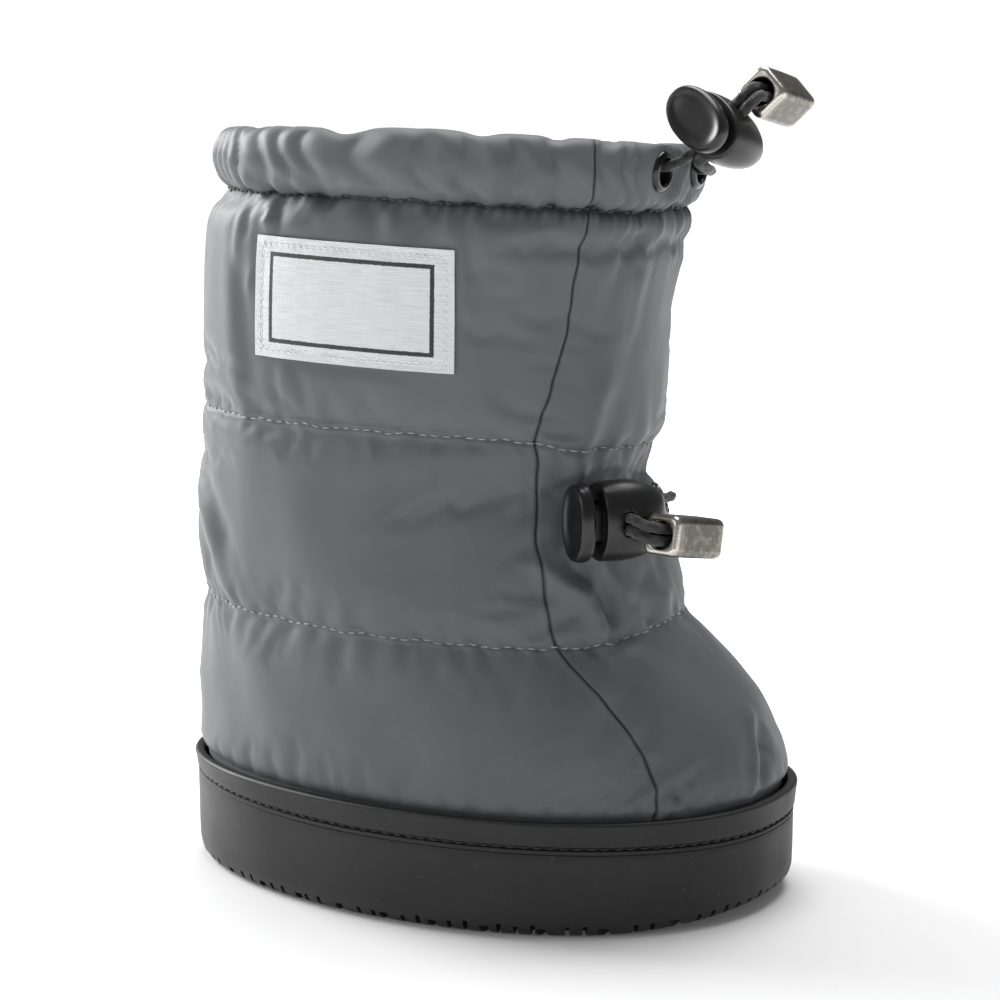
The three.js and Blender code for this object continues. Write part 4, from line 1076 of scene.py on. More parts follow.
# %% Sole
SOLE_PROFILE = [  # inset, height
    (14, 0), (5.2, 0), (4.2, 0.08), (3.4, 0.3), (2.7, 0.66), (2.1, 1.15), (1.6, 1.9), (1.28, 2.8),
    (1.05, 3.9), (0.9, 5.2), (0.84, 8), (0.8, 11), (0.78, 14), (0.76, 17), (0.76, 19.1), (0.8, 19.2),
    (0.95, 19.28), (0.95, 19.38), (0.8, 19.46), (0.72, 19.6), (0.72, 20.1), (0.8, 20.25), (1.1, 20.35),
    (1.3, 20.5), (1.36, 20.7), (1.3, 20.9), (1.0, 21.05), (0.6, 21.15), (0.5, 21.4), (0.42, 22.2),
    (0.3, 23.4), (0.16, 24.6), (0.05, 25.4), (0.0, 25.8), (0.06, 26.05), (0.22, 26.3), (0.5, 26.45),
    (0.9, 26.5), (1.6, 26.5), (1.95, 26.4), (2.15, 26.1), (2.25, 25.6), (2.6, 24), (3, 21), (3, 16),
    (3, SOLE_FLOOR), (10, SOLE_FLOOR), (30, SOLE_FLOOR),
]
SOLE_SHAPE = dict(heel=-0.5 * SOLE_LENGTH, toe=0.5 * SOLE_LENGTH, half=0.5 * SOLE_WIDTH,
                  widest=0.06 * SOLE_LENGTH, toe_square=2.26, heel_square=2.08, swing=TOE_SWING)
SOLE_COLUMNS = 420


def toe_lift(x):
    return 3 * np.maximum(0, (x / SOLE_LENGTH - 0.3) / 0.2) ** 2


def sole_point(turn, inset, height):
    x, y = outline(turn, inset=inset, **SOLE_SHAPE)
    fade = np.clip(1 - height / SOLE_FLOOR, 0, 1)
    share = 2 * x / SOLE_LENGTH
    sag = -1.3 * share ** 3 * bump(height, 20.5, 6) - 0.8 * share ** 2 * np.clip((height - 22) / 4, 0, 1)
    return np.stack((x, y, height + toe_lift(x) * fade + sag), axis=-1)


def even_turns(count, **shape):
    """Turns at even distances along an outline, which the toe's and heel's squareness would bunch."""
    fine = np.linspace(0, 2 * math.pi, 8001)
    x, y = outline(fine, **shape)
    length = np.concatenate(([0], np.cumsum(np.hypot(np.diff(x), np.diff(y)))))
    return np.interp(np.linspace(0, length[-1], count, endpoint=False), length, fine)


def sole_ring(turns, inset, height):
    return sole_point(turns, np.full(len(turns), inset), np.full(len(turns), height))


sole_turns = even_turns(SOLE_COLUMNS, **SOLE_SHAPE)
sole_rings = np.stack([sole_ring(sole_turns, inset, height) for inset, height in SOLE_PROFILE])
sole = grid_mesh("sole", sole_rings + to_row_frame, caps=(0, -1))


def box_vertices(centre, forward, half_length, half_width, half_height):
    """The corners of a box that lies along forward, which is level."""
    forward = np.array([*forward, 0.0]) / np.hypot(*forward)
    aside = np.array([-forward[1], forward[0], 0])
    corners = []
    for c in (-1, 1):
        for a, b in ((-1, -1), (1, -1), (1, 1), (-1, 1)):
            corners.append(np.array(centre) + a * half_length * forward + b * half_width * aside
                           + c * half_height * np.array([0, 0, 1.0]))
    return corners


BOX_FACES = [(0, 3, 2, 1), (4, 5, 6, 7), (0, 1, 5, 4), (1, 2, 6, 5), (2, 3, 7, 6), (3, 0, 4, 7)]


def bake(thing):
    """Puts the result of a piece's modifiers in its mesh."""
    depsgraph = bpy.context.evaluated_depsgraph_get()
    thing.data = bpy.data.meshes.new_from_object(thing.evaluated_get(depsgraph))
    thing.modifiers.clear()


def combine(thing, other, operation, overlapping=False):
    """Cuts another closed mesh out of a piece, or joins it to the piece, and removes the other."""
    modifier = thing.modifiers.new("combine", "BOOLEAN")
    modifier.operation, modifier.solver, modifier.object = operation, "EXACT", other
    modifier.use_self = overlapping
    bake(thing)
    bpy.data.objects.remove(other)


def cut(thing, boxes):
    """Takes boxes, given by their corners, out of a closed mesh."""
    vertices, faces = [], []
    for corners in boxes:
        faces.extend(tuple(len(vertices) + i for i in face) for face in BOX_FACES)
        vertices.extend((np.array(corners) * MM).tolist())
    combine(thing, new_object("cutter", vertices, faces), "DIFFERENCE", True)


def sharpen(thing, degrees=32):
    """Smooth shading, with the edges that turn more than this kept sharp."""
    thing.data.polygons.foreach_set("use_smooth", [True] * len(thing.data.polygons))
    thing.data.set_sharp_from_angle(angle=math.radians(degrees))


LUG_PITCH = 12.0
NOTCH_COUNT = 98
cuts = []
for lug in range(-5, 6):
    cuts.append(box_vertices((lug * LUG_PITCH, Y_SHIFT, 0), (0, 1), 60, 1.0, 2.2 + toe_lift(lug * LUG_PITCH)))
notch_random = np.random.default_rng(2)
for notch_turn in even_turns(NOTCH_COUNT, **SOLE_SHAPE):
    x, y = outline(notch_turn, **SOLE_SHAPE)
    beyond_x, beyond_y = outline(notch_turn + 0.01, **SOLE_SHAPE)
    outward = np.array([beyond_y - y, x - beyond_x])
    middle_x, middle_y = outline(notch_turn, inset=3.5, **SOLE_SHAPE)
    if abs(middle_x - LUG_PITCH * round(float(middle_x) / LUG_PITCH)) < 2.2 and abs(middle_x) < 64:
        continue
    tall = 2.7 + notch_random.uniform(-0.5, 0.4) + toe_lift(middle_x)
    cuts.append(box_vertices((middle_x, middle_y + Y_SHIFT, 0), outward, 4.2, 0.5, tall))
cut(sole, cuts)
sharpen(sole, 30)
print("sole triangles:", sum(len(p.vertices) - 2 for p in sole.data.polygons))


# %% [markdown]
# Moulded rubber is nearly black, satin, with a very fine grain, slow waves from the mould and a little
# grey dust that stays in the tread.

# %% Rubber and sole stitches
def rubber():
    material, tree, shader = new_material("cup_rubber", (0.009, 0.009, 0.0092), 0.45, Specular_IOR_Level=0.42)
    place = object_place(tree)
    grain = use_group(tree, GRAIN, place, Scale=1500.0)
    speck = noise(tree, place, Scale=620.0, Detail=1.0)
    parts = add_node(tree, "ShaderNodeSeparateXYZ")
    tree.links.new(place, parts.inputs[0])
    low = remap(tree, parts.outputs[2], 0.0, 0.005, 0.55, 0.0)
    dust = calc(tree, "MULTIPLY", low, grain.outputs["Cloud"])
    amount = calc(tree, "MAXIMUM", dust, remap(tree, speck, 0.71, 0.76, 0.0, 0.3))
    colour = mix_colour(tree, amount, (0.009, 0.009, 0.0092), (0.06, 0.058, 0.056))
    tree.links.new(colour, shader.inputs["Base Color"])
    tree.links.new(remap(tree, grain.outputs["Cloud"], 0.3, 0.7, 0.4, 0.56), shader.inputs["Roughness"])
    add_bump(tree, shader, grain.outputs["Height"], 0.22, 0.00045)
    return material


RUBBER = rubber()
GROOVE_INSET, GROOVE_HEIGHT = 1.15, 20.7
stitch_turns = even_turns(900, **SOLE_SHAPE)
stitch_turns = np.append(stitch_turns, stitch_turns[0])
groove = sole_ring(stitch_turns, GROOVE_INSET, GROOVE_HEIGHT) + to_row_frame
groove_out = groove - (sole_ring(stitch_turns, GROOVE_INSET + 1, GROOVE_HEIGHT) + to_row_frame)
sole_stitches = stitch_row("sole_stitches", [(groove, groove_out)], 2.9, 2.2, 0.6, SOLE_THREAD, 0.06)

# %% [markdown]
# The insole is a loose pad: its outline follows the cup's, and its edge is round.

# %% Insole
INSOLE_PROFILE = [  # inset, height
    (0.6, 9.4), (0.1, 9.8), (0, 10.6), (0, 12.0), (0.3, 12.8), (0.9, 13.15), (1.8, 13.3), (8, 13.3), (20, 13.25),
]
insole_turns = even_turns(160, **SOLE_SHAPE)
insole_points = []
for inset, height in INSOLE_PROFILE:
    x, y = outline(insole_turns, inset=7.1 + inset, **SOLE_SHAPE)
    insole_points.append(np.stack((x, y, np.full(160, height)), axis=-1))
insole_pad = grid_mesh("insole_pad", np.stack(insole_points) + to_row_frame, caps=(0, -1))

# %% [markdown]
# The label is a woven patch that is sewn flat to the shaft with two rows of stitches. It takes its curve
# from the cloth under it, and a plain black frame line is woven in, so it is a material and not a shape.

# %% Label
across, up = np.meshgrid(np.linspace(-0.5, 0.5, 97), np.linspace(-0.5, 0.5, 53))


def zone_of(z, turn):
    """The zone of the cloth at a height."""
    low, high = np.full_like(z, 1.0), np.full_like(z, 4.0)
    for _ in range(24):
        middle = 0.5 * (low + high)
        under = zone_height(turn, middle) < z
        low, high = np.where(under, middle, low), np.where(under, high, middle)
    return 0.5 * (low + high)


def column_of(turn, zone):
    """The mesh's column at a turn, the other way round from real_turn."""
    column = turn
    for _ in range(12):
        column = column - (real_turn(column, zone) - turn)
    return column


def label_surface(across, up, lift):
    """Points on the cloth under the label's own sheet, with their outward directions."""
    along, rise = across * LABEL_LENGTH, up * LABEL_HEIGHT
    x = LABEL_MIDDLE[0] + along * math.cos(LABEL_TILT) + rise * math.sin(LABEL_TILT)
    z = LABEL_MIDDLE[1] + rise * math.cos(LABEL_TILT) - along * math.sin(LABEL_TILT)
    level = np.interp(z, LEVELS, np.arange(6))
    near, far = np.full_like(x, 0.3), np.full_like(x, 2.9)
    for _ in range(30):
        middle = 0.5 * (near + far)
        ahead_of_it = base(-middle, level, z)[..., 0] > x
        near, far = np.where(ahead_of_it, middle, near), np.where(ahead_of_it, far, middle)
    turn = -0.5 * (near + far)
    zone = zone_of(z, turn)
    normals = last_normal(turn, zone)
    points = shell_surface(column_of(turn, zone), zone)
    return points + lift[..., None] * normals + to_row_frame, normals


edge_gap = np.minimum((0.5 - np.abs(across)) * LABEL_LENGTH, (0.5 - np.abs(up)) * LABEL_HEIGHT)
quilted_edge = 0.22 * np.exp(-((edge_gap - 1.6) / 0.7) ** 2)
label_lift = 0.62 - quilted_edge + 0.1 * np.sin(across * 31) * np.exp(-edge_gap / 2)
label_points, label_normals = label_surface(across, up, label_lift)
back_points = label_points - LABEL_THICKNESS * label_normals


def sheet_mesh(name, front, back):
    """A closed thin sheet from two grids of points."""
    rows, columns = front.shape[:2]
    count = rows * columns
    faces = grid_faces(rows, columns, False)
    everything = faces.tolist() + (faces[:, ::-1] + count).tolist()
    rim = ([(0, k) for k in range(columns)] + [(r, columns - 1) for r in range(1, rows)]
           + [(rows - 1, k) for k in range(columns - 2, -1, -1)] + [(r, 0) for r in range(rows - 2, 0, -1)])
    ids = [r * columns + k for r, k in rim]
    for a, b in zip(ids, ids[1:] + ids[:1]):
        everything.append((b, a, a + count, b + count))
    points = np.concatenate((front.reshape(-1, 3), back.reshape(-1, 3)))
    return new_object(name, (points * MM).tolist(), everything)


label = sheet_mesh("label", label_points, back_points)
label_uv = label.data.uv_layers.new(name="cloth")
label_loops = np.empty(len(label.data.loops), int)
label.data.loops.foreach_get("vertex_index", label_loops)
flat_uv = np.stack((across.ravel() * LABEL_LENGTH * MM, up.ravel() * LABEL_HEIGHT * MM), axis=-1)
label_uv.data.foreach_set("uv", np.concatenate((flat_uv, flat_uv))[label_loops].ravel())
sharpen(label, 50)


def label_cloth():
    """White satin weave with a woven black frame line."""
    material, tree, shader = new_material("label_satin", (0.72, 0.72, 0.73), 0.55, Sheen_Weight=0.2)
    uv = add_node(tree, "ShaderNodeUVMap", uv_map="cloth").outputs[0]
    parts = add_node(tree, "ShaderNodeSeparateXYZ")
    tree.links.new(uv, parts.inputs[0])
    ragged = calc(tree, "MULTIPLY_ADD", noise(tree, uv, Scale=1500.0, Detail=2.0), 0.0003, -0.00015)
    gap_x = calc(tree, "SUBTRACT", LABEL_LENGTH / 2 * MM, calc(tree, "ABSOLUTE", parts.outputs[0]))
    gap_y = calc(tree, "SUBTRACT", LABEL_HEIGHT / 2 * MM, calc(tree, "ABSOLUTE", parts.outputs[1]))
    gap = calc(tree, "ADD", calc(tree, "MINIMUM", calc(tree, "SUBTRACT", gap_x, 0.0008), gap_y), ragged)
    from_line = calc(tree, "ABSOLUTE", calc(tree, "SUBTRACT", gap, 0.0038))
    line = remap(tree, from_line, 0.0004, 0.00055, 1.0, 0.0)
    streaks = add_node(tree, "ShaderNodeMapping")
    streaks.inputs["Scale"].default_value = (160, 4200, 1)
    tree.links.new(uv, streaks.inputs["Vector"])
    yarns = noise(tree, streaks.outputs[0], Scale=1.0, Detail=2.0)
    white = ramp(tree, yarns, [(0.3, (0.6, 0.61, 0.63)), (0.7, (0.76, 0.77, 0.79))])
    tree.links.new(mix_colour(tree, line, white, (0.012, 0.012, 0.012)), shader.inputs["Base Color"])
    weave = use_group(tree, WEAVE, uv, Threads=2300.0)
    add_bump(tree, shader, weave.outputs[0], 0.5, 0.00025)
    return material


LABEL_CLOTH = label_cloth()


def label_edge(inset, samples=140):
    """A line round the label at a distance from its edge."""
    half_x, half_y = 0.5 - inset / LABEL_LENGTH, 0.5 - inset / LABEL_HEIGHT
    run, still = 2 * np.linspace(0, 1, samples) - 1, np.ones(samples)
    xs = half_x * np.concatenate((run, still, -run, -still))
    ys = half_y * np.concatenate((-still, run, still, -run))
    return label_surface(xs, ys, np.full(4 * samples, 0.5))


label_stitches = stitch_row("label_stitches", [label_edge(1.5), label_edge(2.1)], 1.7, 1.25, 0.34,
                            LABEL_THREAD, 0.25)

# %% [markdown]
# A pressed eyelet is a lathed ring: a rolled flange over a short barrel. Gloss black lacquer.

# %% Eyelets
def in_frame(points, place, x, y, z):
    """Points of a piece's own frame, set in the shoe."""
    axes = np.array([x, y, z])
    axes = axes / np.linalg.norm(axes, axis=1, keepdims=True)
    return points @ axes + np.array(place) + to_row_frame


EYELET_PROFILE = [  # radius, height
    (2.8, -1.9), (2.8, 0.2), (2.84, 0.55), (2.98, 0.82), (3.25, 0.93), (3.6, 0.9), (3.98, 0.72), (4.3, 0.45),
    (4.48, 0.16), (4.5, 0.0), (4.4, -0.08), (3.5, -0.1), (3.3, -0.3), (3.25, -1.9),
]


def lathed_ring(name, profile, frame_of_it, count=48):
    """A ring turned from a closed profile of radius and height."""
    angles = np.linspace(0, 2 * math.pi, count, endpoint=False)
    radius, height = np.array(profile).T[..., None]
    points = np.stack((radius * np.cos(angles), radius * np.sin(angles), height + 0 * angles), axis=-1)
    k, last = np.arange(count), (len(profile) - 1) * count
    closing = np.stack((last + k, last + (k + 1) % count, (k + 1) % count, k), axis=-1)
    faces = np.vstack((grid_faces(len(profile), count), closing))[:, ::-1]
    piece = new_object(name, (in_frame(points, *frame_of_it) * MM).reshape(-1, 3).tolist(), faces.tolist())
    sharpen(piece, 50)
    return piece


eyelets = {name: lathed_ring(name + "_ring", EYELET_PROFILE, at) for name, at in EYELETS.items()}
print("eyelets:", sorted(eyelets))

# %% [markdown]
# The cord lock is a barrel with a spring inside and a plunger whose head is pressed by the finger. Both
# have an oval section that is a little squarer than an ellipse. The slot that the cords run through is
# cut in the barrel, and the plunger's stem has a window in line with it.

# %% Cord locks
LOCKS = {  # place, press axis, cord hole's axis, height axis
    "collar": [(62.0304, -5.5, 173.5745), (0.1577, 0.9467, -0.2811),
               (0.6621, 0.1099, 0.7413), (0.7326, -0.3029, -0.6095)],
    "ankle": [(45.4575, -19.9271, 90.4901), (0.6, 0.8, 0), (0.8, -0.6, 0), (0, 0, -1)],
}
BARREL_HALF, CAVITY_HALF = (6.5, 9.0), (3.3, 4.65)  # half the thickness and half the height
HEAD_HALF, STEM_HALF = (5.8, 8.8), (3.0, 4.35)
BARREL_PROFILE = [  # along the press axis, share of the half size
    (-5.1, 0.87), (-4.95, 0.91), (-4.6, 0.93), (-3.6, 0.95), (-2, 0.97), (0, 0.98), (2, 0.96), (4, 0.92),
    (6, 0.85), (7.6, 0.76), (9, 0.64), (10, 0.51), (10.7, 0.37), (11.05, 0.22), (11.1, 0.1),
]
HEAD_PROFILE = [
    (-10.1, 0.2), (-10.15, 0.4), (-10.3, 0.56), (-10.55, 0.68), (-10.8, 0.77), (-10.85, 0.84), (-10.6, 0.9),
    (-10.1, 0.94), (-9.3, 0.96), (-8.4, 0.96), (-7.9, 0.94), (-7.6, 0.9), (-7.5, 0.84),
]


def oval(angle, half_y, half_z, square=2.15):
    c, s = np.cos(angle), np.sin(angle)
    return half_y * np.sign(c) * np.abs(c) ** (2 / square), half_z * np.sign(s) * np.abs(s) ** (2 / square)


def oval_loft(name, profile, half_y, half_z, count=72, square=2.15):
    """Ovals along x, each drawn in by the same distance from the largest one, closed at both ends."""
    angles = np.linspace(0, 2 * math.pi, count, endpoint=False)
    rows = []
    for x, share in profile:
        inset = (1 - share) * half_y
        y, z = oval(angles, half_y - inset, half_z - inset, square)
        rows.append(np.stack((np.full(count, x), y, z), axis=-1))
    return grid_mesh(name, np.array(rows), caps=(0, -1))


def rounded_slot(half_x, half_z, corner, count=8):
    points = []
    for quarter, (sx, sz) in enumerate(((1, 1), (-1, 1), (-1, -1), (1, -1))):
        for k in range(count + 1):
            a = math.pi / 2 * (quarter + k / count)
            points.append((sx * (half_x - corner) + corner * math.cos(a),
                           sz * (half_z - corner) + corner * math.sin(a)))
    return np.array(points)


def slot_along_y(half_x, middle_x, half_z, corner, half_length):
    section = rounded_slot(half_x, half_z, corner)
    rows = [np.stack((section[:, 0] + middle_x, np.full(len(section), y), section[:, 1]), axis=-1)
            for y in (half_length, -half_length)]
    return grid_mesh("slot_cutter", np.array(rows), caps=(0, -1))


def settle(thing, frame_of_it, name):
    """Puts a piece that was made in its own frame in its place, in its mesh."""
    points = in_frame(mesh_points(thing.data) / MM, *frame_of_it) * MM
    thing.data.vertices.foreach_set("co", points.ravel())
    thing.data.update()
    thing.name = thing.data.name = name
    return thing


def cord_lock(which):
    barrel = oval_loft("barrel", BARREL_PROFILE, *BARREL_HALF)
    combine(barrel, oval_loft("cavity", [(-6, 1), (5.2, 1), (5.4, 0.9)], *CAVITY_HALF, 48, 5), "DIFFERENCE")
    combine(barrel, slot_along_y(1.5, 0, 2.85, 1.4, 9), "DIFFERENCE")
    plunger = oval_loft("plunger", HEAD_PROFILE, *HEAD_HALF)
    combine(plunger, oval_loft("stem", [(-8.2, 0.98), (2.6, 0.98), (3.0, 0.85)], *STEM_HALF, 48, 5), "UNION")
    combine(plunger, slot_along_y(2.55, -1.05, 2.85, 0.8, 6), "DIFFERENCE")
    for piece, name in ((barrel, "_barrel"), (plunger, "_plunger_head")):
        edge = piece.modifiers.new("edge", "BEVEL")
        edge.width, edge.segments = 0.2 * MM, 2
        edge.limit_method, edge.angle_limit = "ANGLE", math.radians(50)
        bake(piece)
        settle(piece, LOCKS[which], which + name)
        sharpen(piece, 40)
    return barrel, plunger


locks = {which: cord_lock(which) for which in LOCKS}
print("lock triangles:", {name: [len(p.data.polygons) for p in pair] for name, pair in locks.items()})

# %% [markdown]
# The cord ends are cast metal blocks with a square section that swells a little in the middle and a round
# hole for the knot. An attribute marks the edges, which are rubbed bright.

# %% Cord ends
CORD_ENDS = {
    "collar": [(69.5304, -1.5, 181.7745), (-0.7191, -0.0899, -0.6891),
               (0.0125, 0.9898, -0.1422), (0.6948, -0.1109, -0.7106)],
    "ankle": [(57.5575, -23.9271, 88.8901), (-0.9798, 0.2, 0),
              (0.197, 0.9655, -0.17), (-0.034, -0.1666, -0.9854)],
}
END_HALF = 4.4
END_PROFILE = [  # along the block, drawn in, corner, worn bright
    (8.0, 1.56, 2.84, 0), (0.5, 1.55, 2.85, 0), (0.2, 1.45, 2.95, 0.5), (0.0, 1.15, 2.95, 0.9),
    (0.0, 1.0, 1.35, 0.7), (0.06, 0.75, 1.5, 1), (0.2, 0.45, 1.65, 1), (0.45, 0.2, 1.75, 1),
    (0.8, 0.05, 1.8, 0.75), (1.3, 0.0, 1.8, 0.35), (3, -0.02, 1.8, 0.22), (6, -0.05, 1.8, 0.2),
    (9, -0.06, 1.8, 0.2), (12, -0.05, 1.8, 0.2), (15, -0.02, 1.8, 0.22), (16.7, 0.0, 1.8, 0.35),
    (17.2, 0.05, 1.8, 0.75), (17.55, 0.2, 1.75, 1), (17.8, 0.45, 1.65, 1), (17.94, 0.75, 1.5, 1),
    (18, 1.0, 1.35, 0.6), (18, 2.4, 0.6, 0.25),
]


def cord_end(which):
    rows, worn = [], []
    for along, inset, corner, bright in END_PROFILE:
        half = END_HALF - inset
        section = rounded_slot(half, half, min(corner, half), 12)
        rows.append(np.stack((section[:, 0], np.full(len(section), along), section[:, 1]), axis=-1))
        corners = np.clip((np.hypot(section[:, 0], section[:, 1]) / half - 1.08) / 0.1, 0, 1)
        on_the_side = 0.5 < along < 17.5 and inset < 1
        worn.append(np.clip(bright + 0.35 * on_the_side * corners, 0, 1))
    piece = grid_mesh("block", np.array(rows), caps=(0, -1))
    piece.data.flip_normals()
    add_mask(piece, "edge", np.append(np.array(worn).ravel(), (0.0, 0.2)))
    settle(piece, CORD_ENDS[which], which + "_end")
    sharpen(piece, 60)
    return piece


ends = {which: cord_end(which) for which in CORD_ENDS}
print("cord ends:", sorted(ends))

# %% [markdown]
# Each drawcord strand leaves its eyelet, runs through the lock beside its partner and into the metal
# end. It is a tube along a smooth curve through the imported cord's own points. The braid is real relief:
# four yarns wind each way and pass over and under.

# %% Cords
CORD_DIAMETER = 2.4
CORD_PATHS = {
    "collar_lateral": [(49.55, -9.14, 165.87), (52.6, -8.6, 166.3), (56.74, -5.81, 169.58),
                       (65.35, -4.38, 179.22), (66.14, -4.24, 180.11), (67.34, -4.09, 181.4),
                       (68.44, -3.29, 182.5), (68.59, -1.35, 182.73), (68.67, 4.59, 181.88)],
    "collar_medial": [(49.47, 8.47, 165.03), (53.76, 8.64, 164.51), (55.23, 4.5, 164.77),
                      (57.83, -2.2, 165.37), (57.92, -6.76, 167.04), (58.72, -6.62, 167.93),
                      (67.32, -5.19, 177.57), (68.12, -5.06, 178.46), (69.32, -4.91, 179.75),
                      (70.42, -4.11, 180.85), (70.47, -1.65, 180.82), (70.54, 4.29, 179.96)],
    "ankle_lateral": [(37.36, -14.64, 88.39), (39.3, -15.31, 89.14), (40.26, -16.03, 89.14),
                      (50.66, -23.83, 89.14), (51.62, -24.55, 89.14), (53.76, -26.23, 88.94),
                      (56.06, -26.73, 88.34), (57.51, -24.15, 87.56), (58.69, -18.36, 86.54)],
    "ankle_medial": [(39.06, 12.86, 88.99), (42.88, 14.06, 90.61), (42.96, 8.97, 90.79),
                     (42.66, 0.97, 92.99), (41.76, -7.03, 94.79), (40.86, -12.43, 94.59),
                     (39.3, -15.31, 91.84), (40.26, -16.03, 91.84), (50.66, -23.83, 91.84),
                     (51.62, -24.55, 91.84), (53.76, -26.23, 91.64), (56.06, -26.73, 91.04),
                     (57.6, -23.7, 90.22), (58.79, -17.91, 89.2)],
}


def smooth_path(points, step=0.2):
    """A centripetal curve through points, resampled at even steps."""
    points = np.array(points, float)
    padded_ends = np.vstack((2 * points[0] - points[1], points, 2 * points[-1] - points[-2]))
    fine = []
    for p0, p1, p2, p3 in zip(padded_ends, padded_ends[1:], padded_ends[2:], padded_ends[3:]):
        t0 = 0.0
        t1 = t0 + np.linalg.norm(p1 - p0) ** 0.5
        t2 = t1 + np.linalg.norm(p2 - p1) ** 0.5
        t3 = t2 + np.linalg.norm(p3 - p2) ** 0.5
        t = np.linspace(t1, t2, 40, endpoint=False)[:, None]
        a1 = (t1 - t) / (t1 - t0) * p0 + (t - t0) / (t1 - t0) * p1
        a2 = (t2 - t) / (t2 - t1) * p1 + (t - t1) / (t2 - t1) * p2
        a3 = (t3 - t) / (t3 - t2) * p2 + (t - t2) / (t3 - t2) * p3
        b1 = (t2 - t) / (t2 - t0) * a1 + (t - t0) / (t2 - t0) * a2
        b2 = (t3 - t) / (t3 - t1) * a2 + (t - t1) / (t3 - t1) * a3
        fine.append((t2 - t) / (t2 - t1) * b1 + (t - t1) / (t2 - t1) * b2)
    fine = np.vstack(fine + [points[-1:]])
    run = np.concatenate(([0], np.cumsum(np.linalg.norm(np.diff(fine, axis=0), axis=1))))
    at = np.linspace(0, run[-1], max(8, int(run[-1] / step)))
    return np.stack([np.interp(at, run, fine[:, i]) for i in range(3)], axis=-1), run[-1]


def braid(around, along):
    """Height of the braid: yarns of both directions, each on top in turn."""
    first, second = 4 * around + along / 3.4, 4 * around - along / 3.4
    heights = []
    for own, other, sign in ((first, second, 1), (second, first, -1)):
        share = own - np.floor(own)
        on_top = 0.5 + 0.5 * sign * np.cos(math.pi * (other - 0.5)) * (-1) ** np.floor(own)
        heights.append(np.sqrt(1 - (2 * share - 1) ** 2) * (0.35 + 0.65 * on_top))
    return np.maximum(*heights)


def cord_tube(name, points):
    line, length = smooth_path(points)
    tangents = np.gradient(line, axis=0)
    tangents /= np.linalg.norm(tangents, axis=1, keepdims=True)
    sides = [np.cross(tangents[0], (0.3, 0.2, 0.9))]
    for tangent in tangents:
        sides.append(sides[-1] - tangent * (sides[-1] @ tangent))
        sides[-1] = sides[-1] / np.linalg.norm(sides[-1])
    sides = np.array(sides[1:])
    others = np.cross(tangents, sides)
    count = 36
    around = np.arange(count) / count
    along = np.linspace(0, length, len(line))
    height = braid(around[None, :], along[:, None])
    radius = CORD_DIAMETER / 2 - 0.3 * (1 - height)
    a = 2 * math.pi * around
    rings = (line[:, None, :] + radius[..., None] * (np.cos(a)[None, :, None] * sides[:, None, :]
                                                     + np.sin(a)[None, :, None] * others[:, None, :]))
    tube = grid_mesh(name, rings + to_row_frame, caps=(0, -1))
    # The braid's height is kept as a mask too; the cord's material paints shade with it where the braid is low.
    add_mask(tube, "braid", np.append(height.ravel(), (0.5, 0.5)))
    print(name, "%.1f mm, triangles %d" % (length, 2 * len(tube.data.polygons)))
    return tube, (line + to_row_frame) * MM, length * MM


cords = {name: cord_tube(name + "_strand", points) for name, points in CORD_PATHS.items()}


# %% [markdown]
# Small parts: black lacquer on the eyelets, fine-grained satin plastic on the locks with faint scuffs,
# polyester cord with painted shade where its braid is low, so that it is lighter on top of its yarns, and
# dark antique pewter that is bright where it rubs.

# %% Hardware materials
def gloss_lacquer():
    material, tree, shader = new_material("black_lacquer", (0.008, 0.008, 0.009), 0.16)
    grain = use_group(tree, GRAIN, object_place(tree), Scale=700.0)
    tree.links.new(remap(tree, grain.outputs["Cloud"], 0.3, 0.7, 0.12, 0.24), shader.inputs["Roughness"])
    add_bump(tree, shader, grain.outputs["Height"], 0.05, 0.0003)
    return material


def lock_plastic():
    material, tree, shader = new_material("lock_plastic", (0.006, 0.006, 0.0065), 0.3)
    place = object_place(tree)
    grain = use_group(tree, GRAIN, place, Scale=2200.0)
    tree.links.new(remap(tree, grain.outputs["Cloud"], 0.3, 0.7, 0.24, 0.38), shader.inputs["Roughness"])
    scuff = noise(tree, place, Scale=260.0, Detail=3.0, Distortion=2.0)
    colour = ramp(tree, scuff, [(0.66, (0.006, 0.006, 0.0065)), (0.74, (0.02, 0.02, 0.021))])
    tree.links.new(colour, shader.inputs["Base Color"])
    add_bump(tree, shader, grain.outputs["Height"], 0.12, 0.0002)
    return material


def cord_yarn():
    material, tree, shader = new_material("braided_cord", (0.012, 0.012, 0.013), 0.62, Sheen_Weight=0.25)
    fibre = use_group(tree, FIBRE, object_place(tree), Scale=2600.0)
    # Painted shade: the cord is darker where its braid is low, between and under the yarns, and lighter on top.
    height = add_node(tree, "ShaderNodeAttribute", attribute_name="braid").outputs["Fac"]
    colour = ramp(tree, height, [(0.35, (0.002, 0.002, 0.002)), (0.95, (0.02, 0.02, 0.022))])
    tree.links.new(colour, shader.inputs["Base Color"])
    add_bump(tree, shader, fibre.outputs[0], 0.4, 0.00015)
    return material


